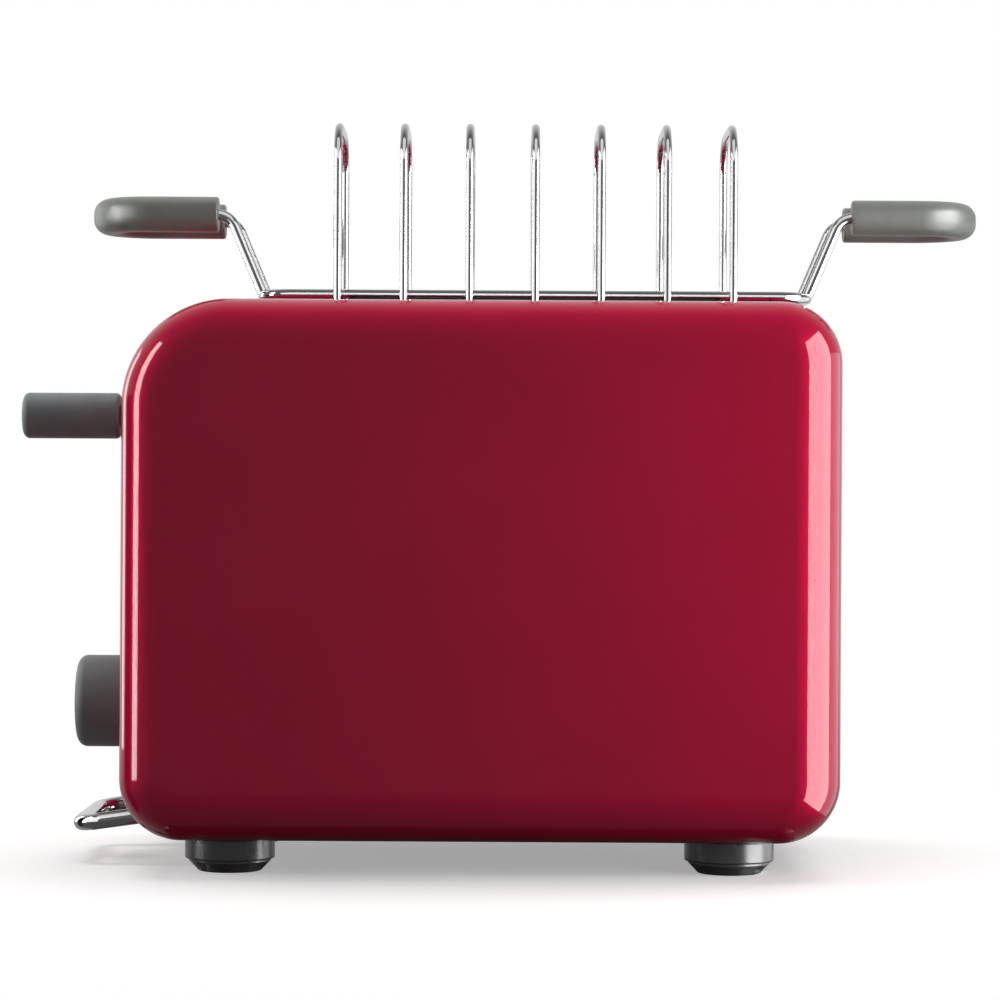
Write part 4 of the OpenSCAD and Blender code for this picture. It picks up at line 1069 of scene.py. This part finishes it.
# %% Helpers for lamps
def softbox(name, place, width, height, power, target=None):
    """An area lamp that faces its target, or else straight across to x = 0."""
    data = bpy.data.lights.new(name, "AREA")
    data.shape = "RECTANGLE"
    data.size, data.size_y = width, height
    data.energy = power
    lamp = bpy.data.objects.new(name, data)
    bpy.context.scene.collection.objects.link(lamp)
    lamp.location = place
    aim = Vector(target or (0.0, *place[1:])) - Vector(place)
    lamp.rotation_euler = aim.to_track_quat("-Z", "Y").to_euler()
    lamp.visible_camera = False
    return lamp


def collect(name, members):
    group = bpy.data.collections.new(name)
    for member in members:
        group.objects.link(member)
    return group


# %% Cards
bent_wires = [loops, left_arms, right_arms, pull]
grips = [left_grip, right_grip]
card_groups = (
    ("facing_the_camera", [front_panel, lever_knob, dial, *grips, *feet, ring, *bent_wires], (
        ("right_softbox", (0.42, -0.278, 0.125), 0.452, 0.65, 5.3),
        ("right_soft_edge", (0.42, 0.10, 0.025), 0.30, 0.45, 0.40),
        ("left_strip", (-0.52, -0.1275, 0.275), 0.111, 0.55, 1.25),
        ("left_rim_strip", (-0.578, 0.319, 0.225), 0.14, 0.45, 0.55, (-0.125, -0.075, 0.225)))),
    ("bent_wires", bent_wires, (
        ("wire_card_left", (-0.573, -0.40, 0.30), 0.75, 0.90, 2.6, (0.0, 0.0, 0.30)),
        ("wire_card_right", (0.62, -0.33, 0.30), 0.90, 0.90, 3.2, (0.0, 0.0, 0.30)),
        ("wire_card_above", (0.0, -0.62, 0.98), 1.2, 1.1, 3.4, (0.0, 0.0, 0.22)))),
    ("grips", grips, (
        ("grip_card_right", (0.42, -0.278, 0.335), 0.452, 0.17, 2.4),
        ("grip_card_left", (-0.52, -0.278, 0.335), 0.452, 0.17, 2.0))),
    ("feet", feet, (
        ("foot_card", (0.42, 0.25, 0.15), 0.50, 0.30, 1.9),)),
    ("facing_the_back", [rear_panel], (
        ("rear_softbox", (-0.42, 0.278, 0.10), 0.452, 0.20, 1.7),
        ("rear_strip", (0.52, 0.1275, 0.10), 0.111, 0.20, 0.45))),
    ("wire_ring", [ring], (
        ("ring_card", (0.0, -0.75, 0.47), 1.6, 0.50, 3.0, (0.0, 0.0, 0.21)),)),
)
cards = {}
for name, pieces, rows in card_groups:
    group = collect(name, pieces)
    cards[name] = [softbox(*row) for row in rows]
    for card in cards[name]:
        card.light_linking.receiver_collection = group
        card.visible_diffuse = False
    print(name, len(cards[name]), "cards")

# %% Cloths
cloths = [softbox(*row) for row in (
    ("right_cloth", (0.28, -0.28, 0.16), 0.15, 0.35, 0.74, (0.05, -0.085, 0.11)),
    ("front_cloth", (-0.10, -1.30, 0.50), 0.80, 0.80, 0.7, (0.0, 0.0, 0.12)),
    ("left_cloth", (-0.70, -0.08, 0.30), 0.40, 0.60, 2.2, (-0.1, -0.04, 0.12)),
    ("back_cloth", (0.20, 1.30, 0.60), 0.80, 0.80, 4.0, (0.0, 0.0, 0.12)),
    ("overhead_cloth", (0.0, 0.14, 0.95), 1.2, 0.5, 8.0, (0.0, 0.02, 0.15)))]
for cloth in cloths:
    cloth.visible_glossy = False
print(len(cloths), "cloths")

# %% [markdown]
# ## Flags
# A photographer keeps a lamp out of a surface with a flag, a piece of black cloth.
# One flag leaves the dark line beside the pale one on the left edge. Six more stand
# where the flat faces and the flat top end, so that the cards show on the rolled
# edges and not as white patches on the flats, from whichever side one looks.

# %% Helpers for flags
cloth_black, tree, shader, coords = new_finish("black_cloth", Roughness=1.0,
                                               Specular_IOR_Level=0.0)
two_tone(tree, shader, grain(tree, coords, 400.0), (0.004, 0.004, 0.004), (0.006, 0.006, 0.006))


def hang_flag(name, place, turn, width, height):
    """A standing black cloth that the camera doesn't see."""
    bpy.ops.mesh.primitive_plane_add(size=1, location=place,
                                     rotation=(math.pi / 2, 0, math.radians(turn)))
    bpy.context.object.scale = (width, height, 1)
    flag = settle(name)
    flag.data.materials.append(cloth_black)
    flag.visible_camera = flag.visible_diffuse = flag.visible_transmission = False
    return flag


def shaded_by(lamps, name, flags, state):
    """Let only these flags shade the lamps, or let the lamps past them."""
    group = collect(name, flags)
    for member in group.collection_objects:
        member.light_linking.link_state = state
    for lamp in lamps:
        lamp.light_linking.blocker_collection = group


# %% Flags
FLAG_X, FLAG_Y, FLAG_LONG, FLAG_LEAN = 0.110, 0.0845, 0.50, math.radians(5.5)
FLAG_LOW, FLAG_TOP = -0.30, 0.205
hang_flag("edge_flag", (-0.41, 0.018, 0.10), 72, 0.127, 0.205).visible_shadow = False
face_flags = []
for across in (-1, 1):
    for deep in (-1, 1):
        run = Vector((across * math.sin(FLAG_LEAN), deep * math.cos(FLAG_LEAN), 0.0))
        end = Vector((across * FLAG_X, deep * FLAG_Y, (FLAG_LOW + FLAG_TOP) / 2))
        face_flags.append(hang_flag(
            f"face_flag_{len(face_flags)}", end + run * FLAG_LONG / 2,
            math.degrees(math.atan2(run.y, run.x)), FLAG_LONG, FLAG_TOP - FLAG_LOW))
for name, x in (("top_flag_left", -0.092), ("top_flag_right", 0.108)):
    face_flags.append(hang_flag(name, (x, -0.0685, 0.43), 90, 0.04, 0.45))
for flag in face_flags:
    flag.visible_glossy = False
flagged = cards["facing_the_camera"] + cards["facing_the_back"]
others = [lamp for lamp in sum(cards.values(), cloths) if lamp not in flagged]
shaded_by(flagged, "face_flags", face_flags, "INCLUDE")
shaded_by(others, "past_the_flags", face_flags, "EXCLUDE")
print(len(face_flags), "flags beside the flats")
